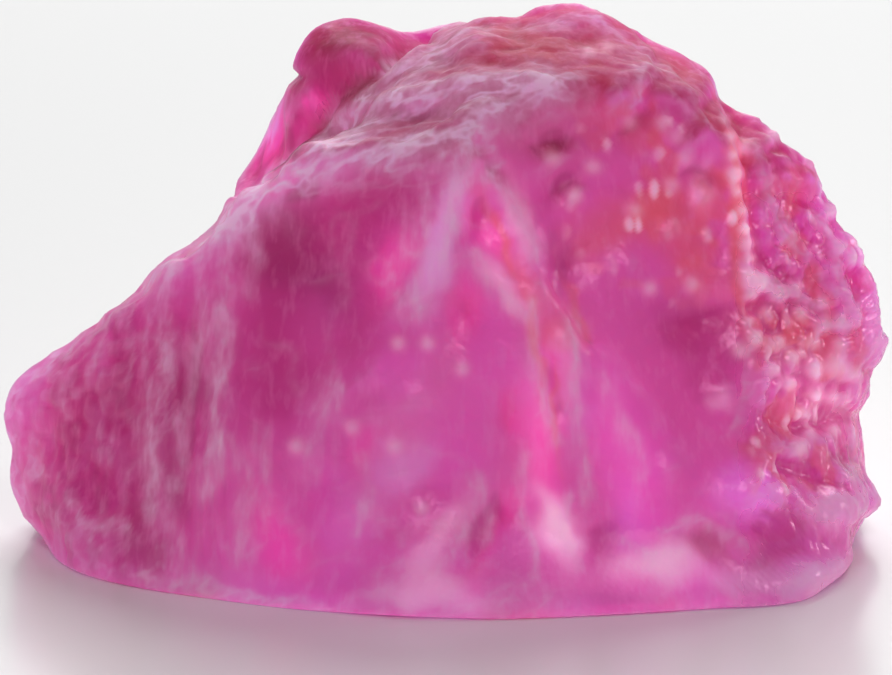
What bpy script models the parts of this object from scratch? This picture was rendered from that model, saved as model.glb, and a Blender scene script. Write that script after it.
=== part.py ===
"""Raw ruby crystal: one broken, etched lump of corundum lying on its flat broken face.

The stone is 24 mm long (X), about 14 mm deep (Y) and 14.7 mm high (Z).  It is a single
solid.  Its form is a star-shaped surface about a point inside it: for each direction, the
distance to a set of flat growth and fracture faces, joined with a thin fin that stands up
behind the left shoulder, a round knob on the fin and a sloping foot in front.  That mass is
trimmed to its outline, worn round, carved along its normals with edges, grooves, hollows,
bosses and small broken flats, worn again, and pressed flat underneath.  A small nick parts
the knob from the fin.

World frame in metres, +Z up, the front faces -Y, the origin is under the middle of the
stone on the surface it rests on.  The dimensions below are millimetres.
"""
import bpy
import bmesh
import numpy as np

NAME = "ruby_crystal"
MM = 0.001
RUBY_PINK = (0.57, 0.12, 0.32, 1.0)

# ---------------------------------------------------------------------------
# Driving dimensions
# ---------------------------------------------------------------------------
HEART = np.array([0.3, 0.2, 6.0])   # the point every face is measured from
SHIFT = (-0.01, -0.58)              # moves the finished stone over the origin
START_AXES = (1.7, 1.0, 1.05)       # proportions of the ball the surface starts from
BALL_SUBDIVISIONS = 7
TARGET_TRIANGLES = 9000
EDGE_SHARPNESS = 30                 # how crisply two faces of one mass meet
JOIN_SHARPNESS = 22                 # how crisply two masses run together
BASE_BAND = 0.25                    # round-over where the sides reach the resting face
# The flat resting face is a polygon with these corners (x, y), counter-clockwise.  Past its
# sides the underside rises gently, by this much per millimetre, so the rim is clear.
REST_CORNERS = [
    (10.61, 0.58), (9.71, 4.98), (6.51, 5.48), (-7.89, 5.38), (-10.39, 2.18),
    (-10.49, -0.32), (-7.99, -3.12), (-4.59, -4.72), (1.51, -5.72), (9.71, -3.82),
]
REST_RISE = 0.06
REST_REACH = 1.2                    # the rise fades out up to this height
REST_SNAP = 0.02                    # corners lower than this stand on the ground

# Each face: heading of its outward normal (0 is the front, + to the right) in degrees,
# upward tilt of the normal in degrees, and a point it passes through.
BODY_FACES = {
    "left_end": (-57, 8, (-10.7, -0.5, 0.6)),
    "window": (-24, 14, (-5.0, -4.75, 0.0)),
    "front": (4, 6, (0.0, -4.7, 3.2)),
    "apron": (22, 20, (6.0, -5.2, 1.0)),
    "brow": (-28, 60, (-0.3, -3.4, 12.0)),
    "flank": (54, 18, (8.3, -1.9, 7.2)),
    "right_low": (76, -3, (10.9, -2.2, 0.5)),
    "right_far": (108, 10, (11.9, 3.4, 5.0)),
    "shoulder": (78, 37, (10.2, 2.5, 9.8)),
    "crown": (-20, 83, (0.5, 3.0, 14.0)),
    "crown_right": (78, 60, (5.6, 3.0, 13.6)),
    "roof": (-106, 52, (-8.4, 0.55, 7.65)),
    "left_far": (-112, 6, (-11.9, 2.4, 3.4)),
    "left_toe": (-80, -30, (-11.0, 0.5, 0.4)),
    "front_toe": (-10, -40, (-1.0, -6.6, 0.4)),
    "right_toe": (65, -38, (10.9, -2.5, 0.5)),
    "back": (172, 12, (0.0, 6.2, 6.0)),
    "back_high": (190, 35, (2.0, 5.6, 11.5)),
    "back_left": (-143, 18, (-7.5, 4.6, 5.0)),
    "back_right": (140, 20, (8.8, 5.0, 5.0)),
    "back_toe": (180, -35, (0.0, 6.8, 0.9)),
    "base": (0, -90, (0.0, 0.0, -0.35)),
}
FIN_FACES = {
    "left": (-80, 27, (-5.0, 3.8, 11.0)),
    "front": (-32, 12, (-4.6, 2.7, 11.0)),
    "right": (60, 66, (-1.2, 4.0, 13.9)),
    "top": (-70, 80, (-2.8, 4.3, 14.1)),
    "back": (184, 12, (-3.0, 5.9, 10.0)),
    "back_low": (168, -24, (-1.0, 6.7, 5.5)),
    "under_left": (-90, -25, (-5.5, 3.0, 9.0)),
    "far_right": (60, 10, (2.0, 1.0, 9.0)),
    "under": (0, -90, (0.0, 0.0, 2.0)),
}
FOOT_FACES = {
    "left": (-26, 36, (-5.0, -4.95, 0.0)),
    "middle": (-2, 40, (0.0, -6.75, 0.0)),
    "right": (12, 42, (6.0, -5.7, 0.0)),
    "corner": (48, 30, (10.2, -4.2, 0.0)),
    "side": (80, 8, (11.3, -1.0, 0.5)),
    "toe": (-8, -45, (-0.5, -6.6, 0.2)),
    "toe_right": (50, -45, (10.2, -4.0, 0.2)),
    "toe_left": (-60, -40, (-9.6, -2.5, 0.3)),
    "back": (180, 10, (0.0, 1.2, 6.0)),
    "end": (-70, 15, (-9.8, -1.0, 1.5)),
    "top": (0, 90, (0.0, 0.0, 8.0)),
    "under": (0, -90, (0.0, 0.0, -0.35)),
}

# The front elevation is drawn on a plane that leans back 15 degrees, with its lines
# converging on a point 250 mm in front.  u runs right and v up this plane.
LEAN = np.radians(15.0)
EYE_FAR = 250.0
AIM = np.array([0.0, 0.0, 6.16])
AIM_RISE = 5.95
RIGHT = np.array([1.0, 0.0, 0.0])
UP = np.array([0.0, np.sin(LEAN), np.cos(LEAN)])
AWAY = np.array([0.0, np.cos(LEAN), -np.sin(LEAN)])
OUTLINE_HEART = (0.3, 6.0)
OUTLINE_FREE = (207.0, 322.0, 7.0)  # the stretch of the outline that the base sets, degrees

OUTLINE = [
    (-10.6, -0.4), (-10.75, 0.0), (-11.0, 0.5), (-11.4, 0.9), (-11.6, 1.3), (-11.9, 2.0),
    (-11.85, 2.85), (-12.05, 3.9), (-11.85, 4.65), (-11.5, 5.0), (-11.0, 5.4), (-10.15, 5.95),
    (-10.1, 6.1), (-9.8, 6.15), (-9.55, 6.45), (-9.3, 6.7), (-9.0, 6.8), (-8.45, 7.25),
    (-8.2, 7.6), (-7.8, 8.0), (-7.0, 8.5), (-6.5, 8.85), (-6.1, 9.3), (-5.8, 10.0),
    (-5.4, 10.65), (-5.0, 11.3), (-4.45, 12.5), (-4.3, 12.85), (-4.25, 13.4), (-4.22, 13.75),
    (-4.1, 14.1), (-3.85, 14.4), (-3.4, 14.65),
    (-2.7, 14.8), (-2.0, 14.72), (-1.75, 14.5), (-1.0, 14.3), (0.0, 14.48), (0.8, 14.62),
    (1.2, 14.7), (2.0, 14.68), (2.3, 14.85), (2.6, 15.03), (3.6, 15.05), (4.5, 14.7),
    (5.6, 14.05), (6.2, 13.8), (6.8, 13.45), (7.15, 13.2), (7.35, 12.85), (7.4, 12.5),
    (8.0, 12.12), (8.35, 12.05), (8.8, 11.65), (9.15, 11.28), (9.5, 11.1), (9.95, 10.8),
    (10.15, 10.4), (10.3, 9.9), (10.85, 8.9), (11.15, 8.7), (11.5, 8.05), (11.75, 7.3),
    (12.02, 5.8), (11.9, 5.4), (11.65, 5.1), (11.45, 4.1), (11.25, 3.8), (11.35, 3.3),
    (11.5, 2.2), (11.8, 1.85), (11.85, 1.55), (11.5, 0.9), (11.25, 0.6), (11.0, -0.35),
    (10.6, -0.75), (10.1, -1.25),
]

# Worn edges that stand proud: height, half width, run of (u, v).
CRESTS = [
    (0.30, 0.38, [(-5.9, 9.4), (-5.2, 9.8), (-4.5, 10.3), (-3.9, 10.9), (-2.9, 11.9), (-1.9, 12.9),
                  (-0.7, 13.4)]),
    (0.28, 0.34, [(-4.0, 10.3), (-3.4, 10.7), (-2.4, 11.0), (-1.2, 11.1), (-0.3, 11.5), (1.2, 12.3)]),
    (0.24, 0.30, [(-2.0, 12.3), (0.0, 12.7), (1.9, 13.1), (2.6, 13.1)]),
    (0.18, 0.26, [(-0.6, 13.7), (0.2, 14.2)]),
    (0.18, 0.26, [(0.4, 13.4), (1.5, 13.9)]),
    (0.20, 0.30, [(4.2, 14.6), (5.0, 14.2), (5.4, 13.7), (5.55, 13.1), (5.2, 12.7), (5.4, 12.2)]),
    (0.20, 0.30, [(6.0, 13.2), (6.8, 12.4), (7.5, 11.2)]),
    (0.26, 0.36, [(7.4, 12.5), (7.9, 10.5), (8.1, 8.0), (8.2, 6.5), (8.6, 4.6)]),
    (0.30, 0.45, [(0.7, 10.8), (0.3, 9.8), (0.2, 8.9), (-0.3, 7.3), (-0.8, 6.9)]),
    (0.30, 0.45, [(1.5, 10.0), (2.0, 9.2), (2.4, 8.5)]),
    (0.22, 0.35, [(0.9, 8.1), (1.5, 7.3)]),
    (0.24, 0.40, [(2.4, 7.4), (2.3, 6.0), (2.6, 4.0), (2.9, 3.3)]),
    (0.24, 0.36, [(3.5, 6.0), (3.6, 2.8), (3.9, 1.2)]),
    (0.22, 0.40, [(-2.2, 5.0), (-3.1, 4.2), (-3.4, 2.7)]),
    (0.28, 0.34, [(1.1, 1.8), (0.6, 0.7), (-0.5, -1.2)]),
    (0.20, 0.40, [(0.0, 1.0), (-0.8, 0.0), (-1.6, -1.0)]),
    (0.18, 0.36, [(4.3, 5.6), (5.4, 4.2), (5.8, 3.5)]),
    (0.22, 0.30, [(-6.1, 8.8), (-6.1, 7.0), (-6.1, 5.0), (-5.9, 4.0), (-6.5, 2.0)]),
    (0.20, 0.28, [(-7.6, 4.6), (-7.7, 1.5), (-7.4, -0.5)]),
    (0.20, 0.26, [(-7.4, 8.0), (-7.0, 7.2), (-7.3, 5.4)]),
    (0.16, 0.28, [(-5.8, 3.0), (-5.3, 1.0), (-5.4, 0.0)]),
    (0.20, 0.25, [(-11.5, 4.9), (-11.65, 3.5)]),
    (0.16, 0.25, [(-10.35, 4.9), (-10.35, 4.1)]),
    (0.18, 0.25, [(-10.2, 1.4), (-9.6, 0.4)]),
    (0.20, 0.30, [(-9.8, 0.9), (-8.7, 0.7)]),
    (0.18, 0.26, [(10.3, 7.8), (10.7, 7.3), (11.0, 6.7)]),
    (0.20, 0.28, [(8.3, 7.7), (9.0, 7.1), (10.3, 6.9)]),
]
# Sunk runs: depth, half width, run of (u, v).
GROOVES = [
    (0.30, 0.28, [(8.3, 11.9), (8.4, 10.6), (8.3, 9.2), (8.5, 8.2)]),
    (0.26, 0.26, [(8.4, 7.0), (9.2, 6.85), (10.0, 6.9)]),
    (0.28, 0.28, [(9.0, 2.4), (9.8, 2.3), (10.8, 2.0)]),
    (0.30, 0.32, [(1.35, 1.5), (1.0, 0.4), (0.7, -0.6)]),
    (0.24, 0.30, [(9.1, 3.6), (10.2, 3.5), (11.3, 3.8)]),
    (0.22, 0.34, [(-6.9, 7.4), (-6.9, 3.5), (-7.0, 1.5)]),
    (0.75, 0.34, [(-0.6, 13.85), (-2.2, 13.15), (-3.1, 12.3), (-4.2, 11.15), (-5.5, 10.0)]),
    (0.20, 0.20, [(-4.1, 11.9), (-4.35, 10.9)]),
    (0.20, 0.30, [(-9.9, 5.0), (-9.6, 3.2), (-9.5, 1.4)]),
    (0.24, 0.30, [(3.0, 5.0), (3.0, 4.1)]),
]
# Hollows and bosses: u, v, half length, half width, turn in degrees, height (- is a hollow).
LUMPS = [
    (-4.1, 10.1, 0.45, 0.25, 30, -0.22),
    (-2.7, 11.6, 0.70, 0.24, 25, -0.26),
    (-0.9, 12.0, 0.75, 0.22, 12, -0.26),
    (0.0, 13.3, 0.50, 0.25, 10, -0.20),
    (1.1, 13.35, 0.45, 0.22, 5, -0.18),
    (0.95, 14.35, 0.35, 0.20, 0, -0.16),
    (2.6, 14.7, 0.35, 0.22, 20, -0.20),
    (4.0, 14.1, 0.40, 0.26, 0, -0.18),
    (5.1, 12.1, 0.45, 0.30, 60, -0.22),
    (-7.65, 6.5, 0.32, 0.26, 90, -0.24),
    (1.0, 9.3, 0.70, 0.45, 70, -0.30),
    (2.9, 11.4, 0.60, 0.40, 20, -0.26),
    (3.2, 10.2, 0.55, 0.35, 50, -0.24),
    (3.5, 8.0, 0.70, 0.50, 80, -0.26),
    (1.7, 3.8, 0.80, 0.50, 80, -0.28),
    (0.5, 6.7, 0.80, 0.60, 90, -0.30),
    (6.9, 6.5, 0.80, 0.60, 20, -0.34),
    (9.9, 3.7, 0.50, 0.35, 10, -0.26),
    (7.2, 0.35, 0.45, 0.28, 0, -0.26),
    (8.85, 3.8, 0.40, 0.30, 0, -0.26),
    (8.4, 9.9, 0.40, 0.25, 80, -0.22),
    (9.75, 9.65, 0.35, 0.25, 60, -0.20),
    (9.7, 10.7, 0.30, 0.22, 0, -0.18),
    (11.2, 7.6, 0.40, 0.25, 70, -0.20),
    (11.3, 0.9, 0.30, 0.25, 0, -0.22),
    (-3.0, 6.6, 2.6, 1.3, 75, -0.30),
    (-8.8, 2.8, 1.8, 0.7, 85, -0.22),
    (8.4, 1.6, 1.2, 0.9, 10, 0.50),
    (10.6, 1.3, 0.8, 0.6, 20, 0.42),
    (9.8, -0.6, 0.9, 0.5, 10, 0.36),
    (8.1, 0.3, 0.8, 0.4, 0, 0.26),
    (5.7, -0.1, 0.9, 0.5, 10, 0.40),
    (3.0, 0.9, 0.6, 0.8, 10, 0.30),
    (6.1, 2.4, 0.5, 0.35, 60, 0.24),
    (7.6, 4.5, 0.45, 0.40, 0, 0.26),
    (11.4, 6.1, 0.7, 0.9, 0, 0.20),
    (7.1, 9.9, 0.45, 0.28, 80, 0.24),
    (6.75, 11.3, 0.45, 0.22, 50, 0.22),
    (6.25, 8.9, 0.35, 0.25, 70, 0.20),
    (5.05, 7.9, 0.50, 0.25, 85, 0.22),
    (4.65, 12.6, 0.50, 0.20, 80, 0.18),
    (3.5, 9.85, 0.35, 0.25, 60, 0.18),
    (-1.3, 2.2, 0.60, 0.40, 20, 0.20),
    (-0.9, 4.2, 0.60, 0.50, 20, 0.20),
    (-5.0, 5.0, 0.80, 0.60, 80, 0.16),
]
CREST_SIDES = (1.25, 3.2)           # an edge falls off steeply on one side, gently on the other
GROOVE_SIDES = (1.2, 2.4)
CREST_BLADE = 1.6                   # 1 is a straight-sided edge, more is a sharper one
GROOVE_BLADE = 1.4
FACING = (-0.05, 0.20)              # the elevation's relief fades out where the surface turns away
WANDER = (0.9, 0.22)                # runs stray by up to 0.22 mm over each 0.9 mm

# Broken surface all over: size and height of its flats and hillocks, and how softly they meet.
BROAD_FLATS = (3.3, 0.40, 16.0)
SMALL_FLATS = (1.45, 0.15, 40.0)
HILLOCKS = (0.95, 0.17)
HILLOCK_STRETCH = (1.0, 1.0, 1.15)
HILLOCK_STRAY = (1.9, 0.26)         # the hillocks are pulled out of line by this much
ROUGH_FRONT = 0.35                  # roughness of the front, and what the other places add
ROUGH_FLANK = 0.40
ROUGH_BACK = 0.75
ROUGH_WINDOW = -0.25
FLANK_LEFT = (7.9, 8.7)             # the etched flank starts across these u
FLANK_FOOT = (-0.5, 1.0)            # and these v
WINDOW_MIDDLE = -2.8                # the smooth dark face: middle u, half width and v limits
WINDOW_HALF = 2.2
WINDOW_FOOT = (2.0, 4.0)
WINDOW_HEAD = (10.9, 10.2)
QUIET_FOOT = (-0.2, 0.35)           # no relief below this height, so the stone sits flat
WEAR_MASS = 0.20                    # how far wear rounds the bare mass and then its relief
WEAR_RELIEF = 0.09
WEAR_FRONT = 0.26                   # the broad front is worn smoother than the top and the flank
FRONT_RIGHT = (8.3, 6.8)            # it ends across these u
FRONT_HEAD = (10.6, 8.6)            # and these v

KNOB_CENTRE = np.array([-2.95, 4.2, 13.05])
KNOB_RADIUS = 1.2
KNOB_SKIRT = 2.5                    # how steeply the knob runs down into the fin
KNOB_WEAR = 0.30
KNOB_NEAR = (1.9, 1.1)              # distances from its centre between which its wear fades in
NOTCH = (-4.25, 13.05)              # the nick under the knob: place, depth, half height, length
NOTCH_CUT = (0.34, 0.15, 0.55)


# ---------------------------------------------------------------------------
# Helpers
# ---------------------------------------------------------------------------
def smooth(low, high, x):
    """Ease from 0 at low to 1 at high."""
    t = np.clip((x - low) / (high - low), 0.0, 1.0)
    return t * t * (3.0 - 2.0 * t)


def outward(heading, tilt):
    """Unit normal with the given heading and upward tilt."""
    h, t = np.radians(heading), np.radians(tilt)
    return np.array([np.sin(h) * np.cos(t), -np.cos(h) * np.cos(t), np.sin(t)])


def reach(way, faces):
    """Distance from the heart to a body of flat faces along each direction."""
    total = np.zeros(len(way))
    for heading, tilt, point in faces.values():
        face = outward(heading, tilt)
        off = face @ (np.array(point) - HEART)
        total += np.maximum(way @ face / off, 0.0) ** EDGE_SHARPNESS
    return total ** (-1.0 / EDGE_SHARPNESS)


def to_plane(p):
    """Place on the front elevation (u, v) and distance behind it."""
    r = p - AIM
    far = r @ AWAY
    s = EYE_FAR / (EYE_FAR + far)
    return (r @ RIGHT) * s, (r @ UP) * s + AIM_RISE, far


def from_plane(u, v, far):
    """The point at a place on the front elevation and a distance behind it."""
    s = (EYE_FAR + far) / EYE_FAR
    return AIM + np.outer(u * s, RIGHT) + np.outer((v - AIM_RISE) * s, UP) + np.outer(far, AWAY)


def scatter(cell, seed):
    """Even random number in 0..1 for each whole-number cell."""
    n = cell.astype(np.int64)
    h = n[..., 0] * 374761393 + n[..., 1] * 668265263 + n[..., 2] * 2147483647 + seed * 1274126177
    h = (h ^ (h >> 13)) * 1103515245
    h = (h ^ (h >> 16)) * 668265263
    h = h ^ (h >> 15)
    return (h & 0xFFFFFF) / float(0xFFFFFF)


def swell(p, size, seed):
    """Smooth random field in -1..1 with lumps of the given size."""
    q = p / size
    base = np.floor(q)
    f = q - base
    f = f * f * (3.0 - 2.0 * f)
    total = np.zeros(len(p))
    for i in (0, 1):
        for j in (0, 1):
            for k in (0, 1):
                w = np.abs(1 - i - f[:, 0]) * np.abs(1 - j - f[:, 1]) * np.abs(1 - k - f[:, 2])
                total += w * scatter(base + (i, j, k), seed)
    return 2.0 * total - 1.0


def strayed(p, size, shift, seed):
    """Points moved by smooth random amounts, which bends any pattern read from them."""
    return p + shift * np.stack([swell(p, size, seed + k) for k in range(3)], 1)


def grains(p, size, seed):
    """For each point, the offset, squared distance and lattice cell of the grains around it."""
    q = p / size
    base = np.floor(q)
    for i in (-1, 0, 1):
        for j in (-1, 0, 1):
            for k in (-1, 0, 1):
                cell = base + (i, j, k)
                gap = q - cell - np.stack([scatter(cell, seed + a) for a in (1, 2, 3)], 1)
                yield cell, gap, (gap ** 2).sum(1)


def broken_flats(p, size, seed, blend=45.0):
    """Each grain carries its own small sloping plane, and the planes meet in creases."""
    near = np.full(len(p), 9.0)
    held = []
    for cell, gap, d in grains(p, size, seed):
        lean = np.stack([scatter(cell, seed + a) for a in (4, 5, 6)], 1) * 2.0 - 1.0
        near = np.minimum(near, d)
        held.append((d, (gap * lean).sum(1) + 0.35 * (scatter(cell, seed + 7) - 0.5)))
    top, low = np.zeros(len(p)), np.zeros(len(p))
    for d, height in held:
        w = np.exp(-blend * (d - near))
        top += w * height
        low += w
    return top / low


def hillocks(p, size, seed):
    """Low rounded hills parted by grooves, 0 in the groove and 1 on the hill."""
    one = np.full(len(p), 9.0)
    two = np.full(len(p), 9.0)
    for _, _, d in grains(p, size, seed):
        d = np.sqrt(d)
        two = np.minimum(two, np.maximum(one, d))
        one = np.minimum(one, d)
    return smooth(0.0, 0.35, two - one)


def from_run(u, v, line):
    """Distance from (u, v) to a run of straight pieces, and the side of it (+ is left)."""
    best = np.full(len(u), 99.0)
    side = np.zeros(len(u))
    for (ax, ay), (bx, by) in zip(line[:-1], line[1:]):
        ex, ey = bx - ax, by - ay
        t = np.clip(((u - ax) * ex + (v - ay) * ey) / (ex * ex + ey * ey), 0.0, 1.0)
        gx, gy = u - ax - t * ex, v - ay - t * ey
        d = np.hypot(gx, gy)
        near = d < best
        side = np.where(near, np.sign(ex * gy - ey * gx), side)
        best = np.where(near, d, best)
    return best, side


def soften(p, edges, length, share=1.0):
    """Wear that rounds the surface over a length: each point moves half way to the mean of its
    neighbours, times its share, and the length and the spacing set how often."""
    a, b = edges[:, 0], edges[:, 1]
    spacing = np.linalg.norm(p[a] - p[b], axis=1).mean()
    count = np.bincount(np.concatenate([a, b]), minlength=len(p))
    part = np.broadcast_to(0.5 * share, len(p))[:, None]
    for _ in range(int(round((2.0 * length / spacing) ** 2))):
        total = np.empty_like(p)
        for axis in range(3):
            total[:, axis] = np.bincount(a, p[b, axis], len(p)) + np.bincount(b, p[a, axis], len(p))
        p = p + part * (total / count[:, None] - p)
    return p


def vertex_normals(p, tri):
    """Unit normal at each vertex of a triangle mesh."""
    face = np.cross(p[tri[:, 1]] - p[tri[:, 0]], p[tri[:, 2]] - p[tri[:, 0]])
    out = np.zeros_like(p)
    for corner in range(3):
        for axis in range(3):
            out[:, axis] += np.bincount(tri[:, corner], face[:, axis], len(p))
    return out / np.maximum(np.linalg.norm(out, axis=1), 1e-12)[:, None]


# ---------------------------------------------------------------------------
# The stone
# ---------------------------------------------------------------------------
def knob_reach(way):
    """Distance to the far side of the knob's ball, and a steep skirt for rays that miss it."""
    to = KNOB_CENTRE - HEART
    along = way @ to
    miss = np.sqrt(np.maximum(to @ to - along ** 2, 0.0))
    dome = np.sqrt(np.maximum(KNOB_RADIUS ** 2 - miss ** 2, 0.0))
    return np.maximum(along + dome - KNOB_SKIRT * np.maximum(miss - KNOB_RADIUS, 0.0), 0.1)


def rough_mass(way):
    """Main mass, fin, foot and knob, run together."""
    reaches = [reach(way, faces) for faces in (BODY_FACES, FIN_FACES, FOOT_FACES)]
    reaches.append(knob_reach(way))
    r = sum(x ** JOIN_SHARPNESS for x in reaches) ** (1.0 / JOIN_SHARPNESS)
    return HEART + way * r[:, None]


def trim_to_outline(p):
    """Scale the front elevation about its middle so its rim follows OUTLINE."""
    u, v, far = to_plane(p)
    du, dv = u - OUTLINE_HEART[0], v - OUTLINE_HEART[1]
    turn = np.degrees(np.arctan2(dv, du)) % 360.0
    r = np.hypot(du, dv)
    rim = np.zeros(360)
    np.maximum.at(rim, turn.astype(int) % 360, r)
    bell = np.exp(-0.5 * (np.arange(-5, 6) / 1.3) ** 2)
    rim = np.convolve(np.concatenate([rim[-5:], rim, rim[:5]]), bell / bell.sum(), "same")[5:-5]
    ring = np.arange(360) + 0.5
    ring = np.concatenate([ring - 360.0, ring, ring + 360.0])
    rim = np.interp(turn, ring, np.tile(rim, 3))
    out = np.array(OUTLINE) - OUTLINE_HEART
    ways = np.degrees(np.arctan2(out[:, 1], out[:, 0])) % 360.0
    order = np.argsort(ways)
    ways, want = ways[order], np.hypot(out[:, 0], out[:, 1])[order]
    want = np.interp(turn, np.concatenate([ways - 360.0, ways, ways + 360.0]), np.tile(want, 3))
    low, high, band = OUTLINE_FREE
    hold = 1.0 - np.clip(np.minimum(turn - low, high - turn) / band, 0.0, 1.0)
    grow = (want / rim - 1.0) * hold
    # the broad part of the change reaches inwards, the fine part stays at the rim
    order = np.argsort(turn)
    step = np.arange(720) * 0.5
    mean = np.zeros(720)
    for shift in range(-18, 19):
        mean += np.interp((step + shift) % 360.0, turn[order], grow[order]) / 37.0
    broad = np.interp(turn, np.append(step, 360.0), np.append(mean, mean[0]))
    part = np.clip(r / rim, 0.0, 1.0)
    k = 1.0 + broad * part ** 2 + (grow - broad) * part ** 9
    return from_plane(OUTLINE_HEART[0] + du * k, OUTLINE_HEART[1] + dv * k, far)


def carve(p, tri):
    """Move the surface along its normals to carve the relief."""
    normal = vertex_normals(p, tri)
    u, v, _ = to_plane(p)
    facing = smooth(*FACING, normal @ -AWAY)
    stray_size, stray = WANDER
    stray_u = u + stray * swell(p, stray_size, seed=61)
    stray_v = v + stray * swell(p, stray_size, seed=67)
    lift = np.zeros(len(p))
    for height, width, line in CRESTS:
        gap, side = from_run(stray_u, stray_v, line)
        wide = width * np.where(side > 0.0, *CREST_SIDES)
        lift += height * np.clip(1.0 - gap / wide, 0.0, 1.0) ** CREST_BLADE
    for depth, width, line in GROOVES:
        gap, side = from_run(stray_u, stray_v, line)
        wide = width * np.where(side > 0.0, *GROOVE_SIDES)
        lift -= depth * np.clip(1.0 - gap / wide, 0.0, 1.0) ** GROOVE_BLADE
    for at_u, at_v, long, wide, turn, height in LUMPS:
        c, s = np.cos(np.radians(turn)), np.sin(np.radians(turn))
        a = ((u - at_u) * c + (v - at_v) * s) / long
        b = ((v - at_v) * c - (u - at_u) * s) / wide
        lift += height * np.exp(-(a * a + b * b))
    lift *= facing
    flank = smooth(*FLANK_LEFT, u) * smooth(*FLANK_FOOT, v)
    across = 1.0 - smooth(0.3, 0.8, np.abs(u - WINDOW_MIDDLE) / (2.0 * WINDOW_HALF))
    window = facing * across * smooth(*WINDOW_FOOT, v) * smooth(*WINDOW_HEAD, v)
    rough = ROUGH_FRONT + ROUGH_FLANK * flank + ROUGH_BACK * (1.0 - facing) + ROUGH_WINDOW * window
    for seed, (size, height, crease) in ((11, BROAD_FLATS), (23, SMALL_FLATS)):
        lift += height * rough * broken_flats(p, size, seed, crease)
    hills = hillocks(strayed(p, *HILLOCK_STRAY, seed=43) * HILLOCK_STRETCH, HILLOCKS[0], seed=41)
    high = HILLOCKS[1] * (0.6 + 0.4 * swell(p, 2.0, seed=47))
    lift += high * flank * facing * (hills - hills.mean())
    lift *= smooth(*QUIET_FOOT, p[:, 2])
    near_knob = smooth(*KNOB_NEAR, np.linalg.norm(p - KNOB_CENTRE, axis=1))
    return p + normal * (lift * (1.0 - near_knob))[:, None]


def settle(p):
    """Press the underside flat onto z = 0, with a small round edge and a rim that is clear."""
    z = p[:, 2]
    edge = (z + BASE_BAND) ** 2 / (4.0 * BASE_BAND)
    z = np.where(z > BASE_BAND, z, np.where(z < -BASE_BAND, 0.0, edge))
    past = np.zeros(len(p))
    for (ax, ay), (bx, by) in zip(REST_CORNERS, REST_CORNERS[1:] + REST_CORNERS[:1]):
        off = (p[:, 0] - ax) * (by - ay) - (p[:, 1] - ay) * (bx - ax)
        past = np.maximum(past, off / np.hypot(bx - ax, by - ay))
    p[:, 2] = z + REST_RISE * past * smooth(REST_REACH, 0.0, z)
    return p


def nick(p):
    """Push the surface sideways under the knob, so that it overhangs the fin's flat top."""
    u, v, far = to_plane(p)
    push, half, length = NOTCH_CUT
    deep = push * np.exp(-((v - NOTCH[1]) / half) ** 2) * smooth(length, 0.0, u - NOTCH[0])
    return from_plane(u + deep * (far > 0.0), v, far)


def shape(way, tri, edges):
    """The whole stone's surface for a set of directions and the mesh that joins them."""
    p = soften(trim_to_outline(rough_mass(way)), edges, WEAR_MASS)
    p = trim_to_outline(carve(p, tri))
    u, v, _ = to_plane(p)
    front = smooth(0.2, 0.5, vertex_normals(p, tri) @ -AWAY)
    front *= smooth(*FRONT_RIGHT, u) * smooth(*FRONT_HEAD, v)
    near_knob = smooth(*KNOB_NEAR, np.linalg.norm(p - KNOB_CENTRE, axis=1))
    p = soften(p, edges, WEAR_RELIEF)
    p = soften(p, edges, WEAR_FRONT, front)
    p = soften(p, edges, KNOB_WEAR, near_knob)
    p = settle(nick(p))
    p[:, 0] += SHIFT[0]
    p[:, 1] += SHIFT[1]
    return p


def ball_mesh():
    """Even triangle ball that the stone is shaped from."""
    mesh = bpy.data.meshes.new(NAME)
    bm = bmesh.new()
    bmesh.ops.create_icosphere(bm, subdivisions=BALL_SUBDIVISIONS, radius=1.0)
    bm.to_mesh(mesh)
    bm.free()
    return mesh


def ruby_material():
    """Translucent pinkish red corundum."""
    material = bpy.data.materials.new("ruby")
    material.use_nodes = True
    shader = material.node_tree.nodes["Principled BSDF"]
    shader.inputs["Base Color"].default_value = RUBY_PINK
    shader.inputs["Metallic"].default_value = 0.0
    shader.inputs["Roughness"].default_value = 0.3
    shader.inputs["IOR"].default_value = 1.77
    shader.inputs["Transmission Weight"].default_value = 0.5
    material.diffuse_color = RUBY_PINK
    return material


def stand_flat(mesh):
    """Bring every corner that is nearly on the ground exactly onto it."""
    co = np.empty(len(mesh.vertices) * 3, dtype=np.float32)
    mesh.vertices.foreach_get("co", co)
    z = co[2::3]
    z[z < REST_SNAP * MM] = 0.0
    mesh.vertices.foreach_set("co", co)
    mesh.update()


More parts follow.
